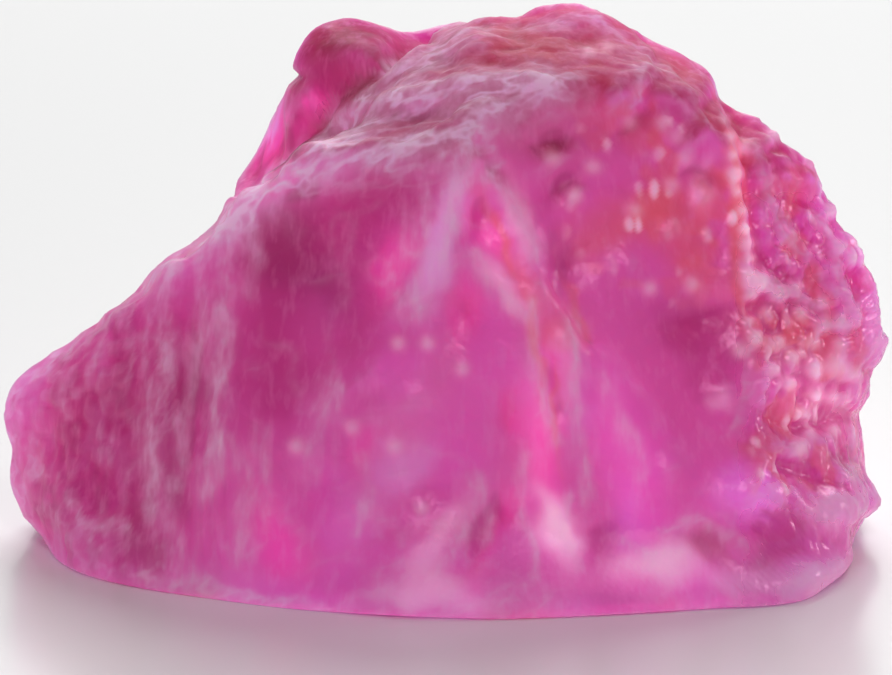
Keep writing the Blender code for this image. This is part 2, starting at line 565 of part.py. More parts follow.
def build():
    for old in list(bpy.data.objects):
        bpy.data.objects.remove(old, do_unlink=True)
    mesh = ball_mesh()
    co = np.empty(len(mesh.vertices) * 3)
    mesh.vertices.foreach_get("co", co)
    tri = np.empty(len(mesh.loops), dtype=np.int32)
    mesh.loops.foreach_get("vertex_index", tri)
    edges = np.empty(len(mesh.edges) * 2, dtype=np.int32)
    mesh.edges.foreach_get("vertices", edges)
    way = co.reshape(-1, 3) * START_AXES
    way /= np.linalg.norm(way, axis=1)[:, None]
    p = shape(way, tri.reshape(-1, 3), edges.reshape(-1, 2))
    mesh.vertices.foreach_set("co", (p * MM).ravel())
    mesh.update()

    stone = bpy.data.objects.new(NAME, mesh)
    stone.data.materials.append(ruby_material())
    home = bpy.data.collections.new(NAME)
    bpy.context.scene.collection.children.link(home)
    home.objects.link(stone)
    thin = stone.modifiers.new("flats", "DECIMATE")
    thin.decimate_type = "COLLAPSE"
    thin.ratio = TARGET_TRIANGLES / len(mesh.polygons)
    thin.use_collapse_triangulate = True
    flats = bpy.data.meshes.new_from_object(stone.evaluated_get(bpy.context.evaluated_depsgraph_get()))
    stone.modifiers.clear()
    stone.data = flats
    stand_flat(flats)
    return stone


build()
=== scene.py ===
"""Raw ruby crystal: the finish of the stone, its light, its floor and its camera.

The stone's surface is worked out with numpy on six square grids that close into one skin.
A place on it is a direction from a point inside the stone, given by two angles.  Its distance
is r = (sum of r_i^k)^(1/k) over the masses i, and each mass is flat faces joined in the same
way: r_i = (sum of (way . n / d)^k)^(-1/k) for faces with normals n at distances d.  The result
is scaled to an outline, moved along its normals by crests, grooves, lumps, broken flats and
hillocks, worn by averaging neighbours, and pressed flat underneath.  Fine relief, colour, haze,
glow and roughness are then worked out at each point of the same skin; the colour carries
painted shade and painted highlights, and the glow is painted light given off by the stone.
Lengths in this file are millimetres unless a name ends in _M, and MM turns them to metres.
"""

import bpy
import numpy as np
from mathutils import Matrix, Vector


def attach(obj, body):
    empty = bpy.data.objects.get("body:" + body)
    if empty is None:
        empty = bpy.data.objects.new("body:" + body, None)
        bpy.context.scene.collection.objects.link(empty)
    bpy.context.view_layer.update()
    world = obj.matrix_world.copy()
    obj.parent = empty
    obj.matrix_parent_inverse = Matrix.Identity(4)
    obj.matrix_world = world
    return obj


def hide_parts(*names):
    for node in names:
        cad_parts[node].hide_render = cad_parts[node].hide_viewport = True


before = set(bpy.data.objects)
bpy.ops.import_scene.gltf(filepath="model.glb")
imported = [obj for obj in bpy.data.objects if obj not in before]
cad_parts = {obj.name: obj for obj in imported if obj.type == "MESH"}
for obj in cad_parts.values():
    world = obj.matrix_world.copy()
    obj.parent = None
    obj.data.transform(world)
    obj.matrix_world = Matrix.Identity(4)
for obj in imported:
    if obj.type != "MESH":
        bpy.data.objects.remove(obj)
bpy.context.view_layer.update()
MM = 0.001

# --- Driving dimensions ---
HEART = np.array([0.3, 0.2, 6.0])  # the point every face is measured from
SHIFT = (-0.01, -0.58)  # moves the finished stone over the origin
START_AXES = (1.7, 1.0, 1.05)  # how the first directions are drawn out
EDGE_SHARPNESS = 30  # how crisply two faces of one mass meet
JOIN_SHARPNESS = 22  # how crisply two masses run together
BASE_BAND = 0.25  # round-over where the sides reach the resting face
# The flat resting face: its corners (x, y), counter-clockwise.  Past its sides the underside
# rises by this much per millimetre, so the rim is clear.
REST_CORNERS = [
    (10.61, 0.58), (9.71, 4.98), (6.51, 5.48), (-7.89, 5.38), (-10.39, 2.18), (-10.49, -0.32),
    (-7.99, -3.12), (-4.59, -4.72), (1.51, -5.72), (9.71, -3.82),
]
REST_RISE = 0.06
REST_REACH = 1.2  # the rise fades out up to this height

# Each face: heading of its outward normal (0 is the front, + to the right) in degrees,
# upward tilt of the normal in degrees, and a point it passes through.
BODY_FACES = {
    "left_end": (-57, 8, (-10.7, -0.5, 0.6)),
    "window": (-24, 14, (-5, -4.75, 0)),
    "front": (4, 6, (0, -4.7, 3.2)),
    "apron": (22, 20, (6, -5.2, 1)),
    "brow": (-28, 60, (-0.3, -3.4, 12)),
    "flank": (54, 18, (8.3, -1.9, 7.2)),
    "right_low": (76, -3, (10.9, -2.2, 0.5)),
    "right_far": (108, 10, (11.9, 3.4, 5)),
    "shoulder": (78, 37, (10.2, 2.5, 9.8)),
    "crown": (-20, 83, (0.5, 3, 14)),
    "crown_right": (78, 60, (5.6, 3, 13.6)),
    "roof": (-106, 52, (-8.4, 0.55, 7.65)),
    "left_far": (-112, 6, (-11.9, 2.4, 3.4)),
    "left_toe": (-80, -30, (-11, 0.5, 0.4)),
    "front_toe": (-10, -40, (-1, -6.6, 0.4)),
    "right_toe": (65, -38, (10.9, -2.5, 0.5)),
    "back": (172, 12, (0, 6.2, 6)),
    "back_high": (190, 35, (2, 5.6, 11.5)),
    "back_left": (-143, 18, (-7.5, 4.6, 5)),
    "back_right": (140, 20, (8.8, 5, 5)),
    "back_toe": (180, -35, (0, 6.8, 0.9)),
    "base": (0, -90, (0, 0, -0.35)),
}
FIN_FACES = {
    "left": (-80, 27, (-5, 3.8, 11)),
    "front": (-32, 12, (-4.6, 2.7, 11)),
    "right": (60, 66, (-1.2, 4, 13.9)),
    "top": (-70, 80, (-2.8, 4.3, 14.1)),
    "back": (184, 12, (-3, 5.9, 10)),
    "back_low": (168, -24, (-1, 6.7, 5.5)),
    "under_left": (-90, -25, (-5.5, 3, 9)),
    "far_right": (60, 10, (2, 1, 9)),
    "under": (0, -90, (0, 0, 2)),
}
FOOT_FACES = {
    "left": (-26, 36, (-5, -4.95, 0)),
    "middle": (-2, 40, (0, -6.75, 0)),
    "right": (12, 42, (6, -5.7, 0)),
    "corner": (48, 30, (10.2, -4.2, 0)),
    "side": (80, 8, (11.3, -1, 0.5)),
    "toe": (-8, -45, (-0.5, -6.6, 0.2)),
    "toe_right": (50, -45, (10.2, -4, 0.2)),
    "toe_left": (-60, -40, (-9.6, -2.5, 0.3)),
    "back": (180, 10, (0, 1.2, 6)),
    "end": (-70, 15, (-9.8, -1, 1.5)),
    "top": (0, 90, (0, 0, 8)),
    "under": (0, -90, (0, 0, -0.35)),
}

# The front elevation is drawn on a plane that leans back, with its lines converging on a
# point EYE_FAR in front.  u runs right and v up this plane.
LEAN = np.radians(15.0)
EYE_FAR = 250.0
AIM = np.array([0.0, 0.0, 6.16])
AIM_RISE = 5.95
RIGHT = np.array([1.0, 0.0, 0.0])
UP = np.array([0.0, np.sin(LEAN), np.cos(LEAN)])
AWAY = np.array([0.0, np.cos(LEAN), -np.sin(LEAN)])
OUTLINE_HEART = (0.3, 6.0)
OUTLINE_FREE = (207.0, 322.0, 7.0)  # the stretch of the outline that the base sets, degrees
RIM_BLUR = 1.3  # the rim is measured over this many degrees
BROAD_STEPS = 18  # half degrees to each side that count as a broad change
BROAD_POWER = 2  # how far in a broad change and a fine one reach
FINE_POWER = 9

OUTLINE = [
    (-10.6, -0.4), (-10.75, 0), (-11, 0.5), (-11.4, 0.9), (-11.6, 1.3), (-11.9, 2), (-11.85, 2.85),
    (-12.05, 3.9), (-11.85, 4.65), (-11.5, 5), (-11, 5.4), (-10.15, 5.95), (-10.1, 6.1), (-9.8, 6.15),
    (-9.55, 6.45), (-9.3, 6.7), (-9, 6.8), (-8.45, 7.25), (-8.2, 7.6), (-7.8, 8), (-7, 8.5), (-6.5, 8.85),
    (-6.1, 9.3), (-5.8, 10), (-5.4, 10.65), (-5, 11.3), (-4.45, 12.5), (-4.3, 12.85), (-4.25, 13.4),
    (-4.22, 13.75), (-4.1, 14.1), (-3.85, 14.4), (-3.4, 14.65), (-2.7, 14.8), (-2, 14.72), (-1.75, 14.5),
    (-1, 14.3), (0, 14.48), (0.8, 14.62), (1.2, 14.7), (2, 14.68), (2.3, 14.85), (2.6, 15.03),
    (3.6, 15.05), (4.5, 14.7), (5.6, 14.05), (6.2, 13.8), (6.8, 13.45), (7.15, 13.2), (7.35, 12.85),
    (7.4, 12.5), (8, 12.12), (8.35, 12.05), (8.8, 11.65), (9.15, 11.28), (9.5, 11.1), (9.95, 10.8),
    (10.15, 10.4), (10.3, 9.9), (10.85, 8.9), (11.15, 8.7), (11.5, 8.05), (11.75, 7.3), (12.02, 5.8),
    (11.9, 5.4), (11.65, 5.1), (11.45, 4.1), (11.25, 3.8), (11.35, 3.3), (11.5, 2.2), (11.8, 1.85),
    (11.85, 1.55), (11.5, 0.9), (11.25, 0.6), (11, -0.35), (10.6, -0.75), (10.1, -1.25),
]

# Worn edges that stand proud: height, half width, run of (u, v).
CRESTS = [
    (0.3, 0.38, [(-5.9, 9.4), (-5.2, 9.8), (-4.5, 10.3), (-3.9, 10.9), (-2.9, 11.9), (-1.9, 12.9),
               (-0.7, 13.4)]),
    (0.28, 0.34, [(-4, 10.3), (-3.4, 10.7), (-2.4, 11), (-1.2, 11.1), (-0.3, 11.5), (1.2, 12.3)]),
    (0.24, 0.3, [(-2, 12.3), (0, 12.7), (1.9, 13.1), (2.6, 13.1)]),
    (0.18, 0.26, [(-0.6, 13.7), (0.2, 14.2)]),
    (0.18, 0.26, [(0.4, 13.4), (1.5, 13.9)]),
    (0.2, 0.3, [(4.2, 14.6), (5, 14.2), (5.4, 13.7), (5.55, 13.1), (5.2, 12.7), (5.4, 12.2)]),
    (0.2, 0.3, [(6, 13.2), (6.8, 12.4), (7.5, 11.2)]),
    (0.26, 0.36, [(7.4, 12.5), (7.9, 10.5), (8.1, 8), (8.2, 6.5), (8.6, 4.6)]),
    (0.3, 0.45, [(0.7, 10.8), (0.3, 9.8), (0.2, 8.9), (-0.3, 7.3), (-0.8, 6.9)]),
    (0.3, 0.45, [(1.5, 10), (2, 9.2), (2.4, 8.5)]),
    (0.22, 0.35, [(0.9, 8.1), (1.5, 7.3)]),
    (0.24, 0.4, [(2.4, 7.4), (2.3, 6), (2.6, 4), (2.9, 3.3)]),
    (0.24, 0.36, [(3.5, 6), (3.6, 2.8), (3.9, 1.2)]),
    (0.22, 0.4, [(-2.2, 5), (-3.1, 4.2), (-3.4, 2.7)]),
    (0.28, 0.34, [(1.1, 1.8), (0.6, 0.7), (-0.5, -1.2)]),
    (0.2, 0.4, [(0, 1), (-0.8, 0), (-1.6, -1)]),
    (0.18, 0.36, [(4.3, 5.6), (5.4, 4.2), (5.8, 3.5)]),
    (0.22, 0.3, [(-6.1, 8.8), (-6.1, 7), (-6.1, 5), (-5.9, 4), (-6.5, 2)]),
    (0.2, 0.28, [(-7.6, 4.6), (-7.7, 1.5), (-7.4, -0.5)]),
    (0.2, 0.26, [(-7.4, 8), (-7, 7.2), (-7.3, 5.4)]),
    (0.16, 0.28, [(-5.8, 3), (-5.3, 1), (-5.4, 0)]),
    (0.2, 0.25, [(-11.5, 4.9), (-11.65, 3.5)]),
    (0.16, 0.25, [(-10.35, 4.9), (-10.35, 4.1)]),
    (0.18, 0.25, [(-10.2, 1.4), (-9.6, 0.4)]),
    (0.2, 0.3, [(-9.8, 0.9), (-8.7, 0.7)]),
    (0.18, 0.26, [(10.3, 7.8), (10.7, 7.3), (11, 6.7)]),
    (0.2, 0.28, [(8.3, 7.7), (9, 7.1), (10.3, 6.9)]),
]
# Sunk runs: depth, half width, run of (u, v).
GROOVES = [
    (0.3, 0.28, [(8.3, 11.9), (8.4, 10.6), (8.3, 9.2), (8.5, 8.2)]),
    (0.26, 0.26, [(8.4, 7), (9.2, 6.85), (10, 6.9)]),
    (0.28, 0.28, [(9, 2.4), (9.8, 2.3), (10.8, 2)]),
    (0.3, 0.32, [(1.35, 1.5), (1, 0.4), (0.7, -0.6)]),
    (0.24, 0.3, [(9.1, 3.6), (10.2, 3.5), (11.3, 3.8)]),
    (0.22, 0.34, [(-6.9, 7.4), (-6.9, 3.5), (-7, 1.5)]),
    (0.75, 0.34, [(-0.6, 13.85), (-2.2, 13.15), (-3.1, 12.3), (-4.2, 11.15), (-5.5, 10)]),
    (0.2, 0.2, [(-4.1, 11.9), (-4.35, 10.9)]),
    (0.2, 0.3, [(-9.9, 5), (-9.6, 3.2), (-9.5, 1.4)]),
    (0.24, 0.3, [(3, 5), (3, 4.1)]),
]
# Hollows and bosses: u, v, half length, half width, turn in degrees, height (- is a hollow).
LUMPS = [
    (-4.1, 10.1, 0.45, 0.25, 30, -0.22), (-2.7, 11.6, 0.7, 0.24, 25, -0.26),
    (-0.9, 12, 0.75, 0.22, 12, -0.26), (0, 13.3, 0.5, 0.25, 10, -0.2), (1.1, 13.35, 0.45, 0.22, 5, -0.18),
    (0.95, 14.35, 0.35, 0.2, 0, -0.16), (2.6, 14.7, 0.35, 0.22, 20, -0.2), (4, 14.1, 0.4, 0.26, 0, -0.18),
    (5.1, 12.1, 0.45, 0.3, 60, -0.22), (-7.65, 6.5, 0.32, 0.26, 90, -0.24), (1, 9.3, 0.7, 0.45, 70, -0.3),
    (2.9, 11.4, 0.6, 0.4, 20, -0.26), (3.2, 10.2, 0.55, 0.35, 50, -0.24), (3.5, 8, 0.7, 0.5, 80, -0.26),
    (1.7, 3.8, 0.8, 0.5, 80, -0.28), (0.5, 6.7, 0.8, 0.6, 90, -0.3), (6.9, 6.5, 0.8, 0.6, 20, -0.34),
    (9.9, 3.7, 0.5, 0.35, 10, -0.26), (7.2, 0.35, 0.45, 0.28, 0, -0.26), (8.85, 3.8, 0.4, 0.3, 0, -0.26),
    (8.4, 9.9, 0.4, 0.25, 80, -0.22), (9.75, 9.65, 0.35, 0.25, 60, -0.2),
    (9.7, 10.7, 0.3, 0.22, 0, -0.18), (11.2, 7.6, 0.4, 0.25, 70, -0.2), (11.3, 0.9, 0.3, 0.25, 0, -0.22),
    (-3, 6.6, 2.6, 1.3, 75, -0.3), (-8.8, 2.8, 1.8, 0.7, 85, -0.22), (8.4, 1.6, 1.2, 0.9, 10, 0.5),
    (10.6, 1.3, 0.8, 0.6, 20, 0.42), (9.8, -0.6, 0.9, 0.5, 10, 0.36), (8.1, 0.3, 0.8, 0.4, 0, 0.26),
    (5.7, -0.1, 0.9, 0.5, 10, 0.4), (3, 0.9, 0.6, 0.8, 10, 0.3), (6.1, 2.4, 0.5, 0.35, 60, 0.24),
    (7.6, 4.5, 0.45, 0.4, 0, 0.26), (11.4, 6.1, 0.7, 0.9, 0, 0.2), (7.1, 9.9, 0.45, 0.28, 80, 0.24),
    (6.75, 11.3, 0.45, 0.22, 50, 0.22), (6.25, 8.9, 0.35, 0.25, 70, 0.2),
    (5.05, 7.9, 0.5, 0.25, 85, 0.22), (4.65, 12.6, 0.5, 0.2, 80, 0.18), (3.5, 9.85, 0.35, 0.25, 60, 0.18),
    (-1.3, 2.2, 0.6, 0.4, 20, 0.2), (-0.9, 4.2, 0.6, 0.5, 20, 0.2), (-5, 5, 0.8, 0.6, 80, 0.16),
]
CREST_SIDES = (1.25, 3.2)  # an edge falls off steeply on one side, gently on the other
GROOVE_SIDES = (1.2, 2.4)
CREST_BLADE = 1.6  # 1 is a straight-sided edge, more is a sharper one
GROOVE_BLADE = 1.4
FACING = (-0.05, 0.20)  # the elevation's relief fades out where the surface turns away
WANDER = (0.9, 0.22)  # runs stray by up to 0.22 mm over each 0.9 mm

# Broken surface all over: size and height of its flats and hillocks, and how crisply they meet.
BROAD_FLATS = (3.3, 0.40, 16.0)
SMALL_FLATS = (1.45, 0.15, 40.0)
HILLOCKS = (0.95, 0.17)
HILLOCK_STRETCH = (1.0, 1.0, 1.15)
HILLOCK_STRAY = (1.9, 0.26)  # the hillocks are pulled out of line by this much
HILLOCK_SWELL = (2.0, 0.4)  # and their height swells over 2 mm by this share
ROUGH_FRONT = 0.35  # share of that height in front, and what the other places add
ROUGH_FLANK = 0.40
ROUGH_BACK = 0.75
ROUGH_WINDOW = -0.25
FLANK_LEFT = (7.9, 8.7)  # the etched flank starts across these u
FLANK_FOOT = (-0.5, 1.0)  # and these v
WINDOW_MIDDLE = -2.8  # the smooth dark face: middle u, half width and v limits
WINDOW_HALF = 2.2
WINDOW_FOOT = (2.0, 4.0)
WINDOW_HEAD = (10.9, 10.2)
WINDOW_FADE = (0.3, 0.8)  # it fades out across these parts of its width
QUIET_FOOT = (-0.2, 0.35)  # no relief below this height, so the stone sits flat
WEAR_MASS = 0.20  # how far wear rounds the bare mass and then its relief
WEAR_RELIEF = 0.09
WEAR_FRONT = 0.26  # the broad front is worn smoother than the top and the flank
FRONT_RIGHT = (8.3, 6.8)  # it ends across these u
FRONT_HEAD = (10.6, 8.6)  # and these v
FRONT_FACING = (0.2, 0.5)

KNOB_CENTRE = np.array([-2.95, 4.2, 13.05])
KNOB_RADIUS = 1.2
KNOB_SKIRT = 2.5  # how steeply the knob runs down into the fin
KNOB_WEAR = 0.30
LEAST_REACH = 0.1
KNOB_NEAR = (1.9, 1.1)  # distances from its centre between which its wear fades in
FLAT_STEP = 0.35  # how much a broken flat's height differs from the next one's
HILLOCK_GAP = 0.35  # width of the grooves between hillocks, in grains
NOTCH = (-4.25, 13.05)  # the nick under the knob: place, depth, half height, length
NOTCH_CUT = (0.34, 0.15, 0.55)


# --- Helpers ---
FAR_OFF = 99.0  # more than any distance that is measured


def smooth(low, high, x):
    """Ease from 0 at low to 1 at high."""
    t = np.clip((x - low) / (high - low), 0.0, 1.0)
    return t * t * (3.0 - 2.0 * t)


def past(u, v, u_limits, v_limits):
    """1 past both limits, each crossed gradually."""
    return smooth(*u_limits, u) * smooth(*v_limits, v)


def outward(heading, tilt):
    """Unit normal with the given heading and upward tilt."""
    h, t = np.radians(heading), np.radians(tilt)
    return np.array([np.sin(h) * np.cos(t), -np.cos(h) * np.cos(t), np.sin(t)])


def reach(way, faces):
    """Distance from the heart to a body of flat faces along each direction."""
    total = np.zeros(len(way))
    for heading, tilt, point in faces.values():
        face = outward(heading, tilt)
        off = face @ (np.array(point) - HEART)
        total += np.maximum(way @ face / off, 0.0) ** EDGE_SHARPNESS
    return total ** (-1.0 / EDGE_SHARPNESS)


def to_plane(p):
    """Place on the front elevation (u, v) and distance behind it."""
    r = p - AIM
    far = r @ AWAY
    s = EYE_FAR / (EYE_FAR + far)
    return (r @ RIGHT) * s, (r @ UP) * s + AIM_RISE, far


def from_plane(u, v, far):
    """The point at a place on the front elevation and a distance behind it."""
    s = (EYE_FAR + far) / EYE_FAR
    return AIM + np.outer(u * s, RIGHT) + np.outer((v - AIM_RISE) * s, UP) + np.outer(far, AWAY)


def scatter(cell, seed):
    """Even random number in 0..1 for each whole-number cell."""
    n = cell.astype(np.int64)
    h = n[..., 0] * 374761393 + n[..., 1] * 668265263 + n[..., 2] * 2147483647 + seed * 1274126177
    h = (h ^ (h >> 13)) * 1103515245
    h = (h ^ (h >> 16)) * 668265263
    h = h ^ (h >> 15)
    return (h & 0xFFFFFF) / float(0xFFFFFF)


def swell(p, size, seed):
    """Smooth random field in -1..1 with lumps of the given size."""
    q = p / size
    base = np.floor(q)
    f = q - base
    f = f * f * (3.0 - 2.0 * f)
    total = np.zeros(len(p))
    for i in (0, 1):
        for j in (0, 1):
            for k in (0, 1):
                w = np.abs(1 - i - f[:, 0]) * np.abs(1 - j - f[:, 1]) * np.abs(1 - k - f[:, 2])
                total += w * scatter(base + (i, j, k), seed)
    return 2.0 * total - 1.0


def strayed(p, size, shift, seed):
    """Points moved by smooth random amounts, which bends any pattern read from them."""
    return p + shift * np.stack([swell(p, size, seed + k) for k in range(3)], 1)


def grains(p, size, seed):
    """For each point, the offset, squared distance and lattice cell of the grains around it."""
    q = p / size
    base = np.floor(q)
    for i in (-1, 0, 1):
        for j in (-1, 0, 1):
            for k in (-1, 0, 1):
                cell = base + (i, j, k)
                gap = q - cell - np.stack([scatter(cell, seed + a) for a in (1, 2, 3)], 1)
                yield cell, gap, (gap ** 2).sum(1)


def broken_flats(p, size, seed, crease):
    """Each grain carries its own small sloping plane, and the planes meet in creases."""
    near = np.full(len(p), FAR_OFF)
    held = []
    for cell, gap, d in grains(p, size, seed):
        lean = np.stack([scatter(cell, seed + a) for a in (4, 5, 6)], 1) * 2.0 - 1.0
        near = np.minimum(near, d)
        held.append((d, (gap * lean).sum(1) + FLAT_STEP * (scatter(cell, seed + 7) - 0.5)))
    top, low = np.zeros(len(p)), np.zeros(len(p))
    for d, height in held:
        w = np.exp(-crease * (d - near))
        top += w * height
        low += w
    return top / low


def hillocks(p, size, seed):
    """Low rounded hills parted by grooves, 0 in the groove and 1 on the hill."""
    one = np.full(len(p), FAR_OFF)
    two = np.full(len(p), FAR_OFF)
    for _, _, d in grains(p, size, seed):
        d = np.sqrt(d)
        two = np.minimum(two, np.maximum(one, d))
        one = np.minimum(one, d)
    return smooth(0.0, HILLOCK_GAP, two - one)


def from_run(u, v, line):
    """Distance from (u, v) to a run of straight pieces, and the side of it (+ is left)."""
    best = np.full(len(u), FAR_OFF)
    side = np.zeros(len(u))
    for (ax, ay), (bx, by) in zip(line[:-1], line[1:]):
        ex, ey = bx - ax, by - ay
        t = np.clip(((u - ax) * ex + (v - ay) * ey) / (ex * ex + ey * ey), 0.0, 1.0)
        gx, gy = u - ax - t * ex, v - ay - t * ey
        d = np.hypot(gx, gy)
        near = d < best
        side = np.where(near, np.sign(ex * gy - ey * gx), side)
        best = np.where(near, d, best)
    return best, side


def oval(u, v, at_u, at_v, long, wide, turn):
    """Squared distance from the middle of an oval turned by some degrees: 1 on its rim."""
    c, s = np.cos(np.radians(turn)), np.sin(np.radians(turn))
    a = ((u - at_u) * c + (v - at_v) * s) / long
    b = ((v - at_v) * c - (u - at_u) * s) / wide
    return a * a + b * b


def from_knob(p):
    """Distance from the middle of the knob."""
    return np.linalg.norm(p - KNOB_CENTRE, axis=1)


def soften(p, edges, length, share=1.0):
    """Wear that rounds the surface over a length: each point moves half way to the mean of its
    neighbours, times its share, and the length and the spacing set how often."""
    a, b = edges[:, 0], edges[:, 1]
    spacing = np.linalg.norm(p[a] - p[b], axis=1).mean()
    count = np.bincount(np.concatenate([a, b]), minlength=len(p))
    part = np.broadcast_to(0.5 * share, len(p))[:, None]
    for _ in range(int(round((2.0 * length / spacing) ** 2))):
        total = np.empty_like(p)
        for axis in range(3):
            total[:, axis] = np.bincount(a, p[b, axis], len(p)) + np.bincount(b, p[a, axis], len(p))
        p = p + part * (total / count[:, None] - p)
    return p


def vertex_normals(p, tri):
    """Unit normal at each vertex of a triangle mesh."""
    face = np.cross(p[tri[:, 1]] - p[tri[:, 0]], p[tri[:, 2]] - p[tri[:, 0]])
    out = np.zeros_like(p)
    for corner in range(3):
        for axis in range(3):
            out[:, axis] += np.bincount(tri[:, corner], face[:, axis], len(p))
    return out / np.maximum(np.linalg.norm(out, axis=1), 1e-12)[:, None]


# --- The stone ---
def knob_reach(way):
    """Distance to the far side of the knob's ball, and a steep skirt for rays that miss it."""
    to = KNOB_CENTRE - HEART
    along = way @ to
    miss = np.sqrt(np.maximum(to @ to - along ** 2, 0.0))
    dome = np.sqrt(np.maximum(KNOB_RADIUS ** 2 - miss ** 2, 0.0))
    return np.maximum(along + dome - KNOB_SKIRT * np.maximum(miss - KNOB_RADIUS, 0.0), LEAST_REACH)


def rough_mass(way):
    """Main mass, fin, foot and knob, run together."""
    reaches = [reach(way, faces) for faces in (BODY_FACES, FIN_FACES, FOOT_FACES)]
    reaches.append(knob_reach(way))
    r = sum(x ** JOIN_SHARPNESS for x in reaches) ** (1.0 / JOIN_SHARPNESS)
    return HEART + way * r[:, None]


def trim_to_outline(p):
    """Scale the front elevation about its middle so its rim follows OUTLINE.  The broad part of
    the change reaches inwards and the fine part stays at the rim."""
    u, v, far = to_plane(p)
    du, dv = u - OUTLINE_HEART[0], v - OUTLINE_HEART[1]
    turn = np.degrees(np.arctan2(dv, du)) % 360.0
    r = np.hypot(du, dv)
    rim = np.zeros(360)
    np.maximum.at(rim, turn.astype(int) % 360, r)
    bell = np.exp(-0.5 * (np.arange(-5, 6) / RIM_BLUR) ** 2)
    rim = np.convolve(np.concatenate([rim[-5:], rim, rim[:5]]), bell / bell.sum(), "same")[5:-5]
    rim = np.interp(turn, np.arange(360) + 0.5, rim, period=360.0)
    out = np.array(OUTLINE) - OUTLINE_HEART
    ways = np.degrees(np.arctan2(out[:, 1], out[:, 0]))
    want = np.interp(turn, ways, np.hypot(out[:, 0], out[:, 1]), period=360.0)
    low, high, band = OUTLINE_FREE
    hold = 1.0 - np.clip(np.minimum(turn - low, high - turn) / band, 0.0, 1.0)
    grow = (want / rim - 1.0) * hold
    order = np.argsort(turn)
    step = np.arange(720) * 0.5
    mean = np.zeros(720)
    for shift in range(-BROAD_STEPS, BROAD_STEPS + 1):
        mean += np.interp((step + shift) % 360.0, turn[order], grow[order])
    broad = np.interp(turn, step, mean / (2 * BROAD_STEPS + 1), period=360.0)
    part = np.clip(r / rim, 0.0, 1.0)
    k = 1.0 + broad * part ** BROAD_POWER + (grow - broad) * part ** FINE_POWER
    return from_plane(OUTLINE_HEART[0] + du * k, OUTLINE_HEART[1] + dv * k, far)


def carve(p, tri):
    """Move the surface along its normals to carve the relief."""
    normal = vertex_normals(p, tri)
    u, v, _ = to_plane(p)
    facing = smooth(*FACING, normal @ -AWAY)
    stray_size, stray = WANDER
    stray_u = u + stray * swell(p, stray_size, seed=61)
    stray_v = v + stray * swell(p, stray_size, seed=67)
    lift = np.zeros(len(p))
    for runs, sides, blade, way in ((CRESTS, CREST_SIDES, CREST_BLADE, 1.0),
                                    (GROOVES, GROOVE_SIDES, GROOVE_BLADE, -1.0)):
        for height, width, line in runs:
            gap, side = from_run(stray_u, stray_v, line)
            wide = width * np.where(side > 0.0, *sides)
            lift += way * height * np.clip(1.0 - gap / wide, 0.0, 1.0) ** blade
    for *place, height in LUMPS:
        lift += height * np.exp(-oval(u, v, *place))
    lift *= facing
    flank = past(u, v, FLANK_LEFT, FLANK_FOOT)
    across = 1.0 - smooth(*WINDOW_FADE, np.abs(u - WINDOW_MIDDLE) / (2.0 * WINDOW_HALF))
    window = facing * across * smooth(*WINDOW_FOOT, v) * smooth(*WINDOW_HEAD, v)
    rough = ROUGH_FRONT + ROUGH_FLANK * flank + ROUGH_BACK * (1.0 - facing) + ROUGH_WINDOW * window
    for seed, (size, height, crease) in ((11, BROAD_FLATS), (23, SMALL_FLATS)):
        lift += height * rough * broken_flats(p, size, seed, crease)
    hills = hillocks(strayed(p, *HILLOCK_STRAY, seed=43) * HILLOCK_STRETCH, HILLOCKS[0], seed=41)
    size, part = HILLOCK_SWELL
    high = HILLOCKS[1] * (1.0 - part + part * swell(p, size, seed=47))
    lift += high * flank * facing * (hills - hills.mean())
    lift *= smooth(*QUIET_FOOT, p[:, 2])
    near_knob = smooth(*KNOB_NEAR, from_knob(p))
    return p + normal * (lift * (1.0 - near_knob))[:, None]


def settle(p):
    """Press the underside flat onto z = 0, with a small round edge and a rim that is clear."""
    z = p[:, 2]
    edge = (z + BASE_BAND) ** 2 / (4.0 * BASE_BAND)
    z = np.where(z > BASE_BAND, z, np.where(z < -BASE_BAND, 0.0, edge))
    outside = np.zeros(len(p))
    for (ax, ay), (bx, by) in zip(REST_CORNERS, REST_CORNERS[1:] + REST_CORNERS[:1]):
        off = (p[:, 0] - ax) * (by - ay) - (p[:, 1] - ay) * (bx - ax)
        outside = np.maximum(outside, off / np.hypot(bx - ax, by - ay))
    p[:, 2] = z + REST_RISE * outside * smooth(REST_REACH, 0.0, z)
    return p


def nick(p):
    """Push the surface sideways under the knob, so that it overhangs the fin's flat top."""
    u, v, far = to_plane(p)
    push, half, length = NOTCH_CUT
    deep = push * np.exp(-((v - NOTCH[1]) / half) ** 2) * smooth(length, 0.0, u - NOTCH[0])
    return from_plane(u + deep * (far > 0.0), v, far)


def shape(way, tri, edges):
    """The whole stone's surface for a set of directions and the mesh that joins them."""
    p = soften(trim_to_outline(rough_mass(way)), edges, WEAR_MASS)
    p = trim_to_outline(carve(p, tri))
    u, v, _ = to_plane(p)
    front = smooth(*FRONT_FACING, vertex_normals(p, tri) @ -AWAY)
    front *= past(u, v, FRONT_RIGHT, FRONT_HEAD)
    near_knob = smooth(*KNOB_NEAR, from_knob(p))
    p = soften(p, edges, WEAR_RELIEF)
    p = soften(p, edges, WEAR_FRONT, front)
    p = soften(p, edges, KNOB_WEAR, near_knob)
    p = settle(nick(p))
    p[:, 0] += SHIFT[0]
    p[:, 1] += SHIFT[1]
    return p


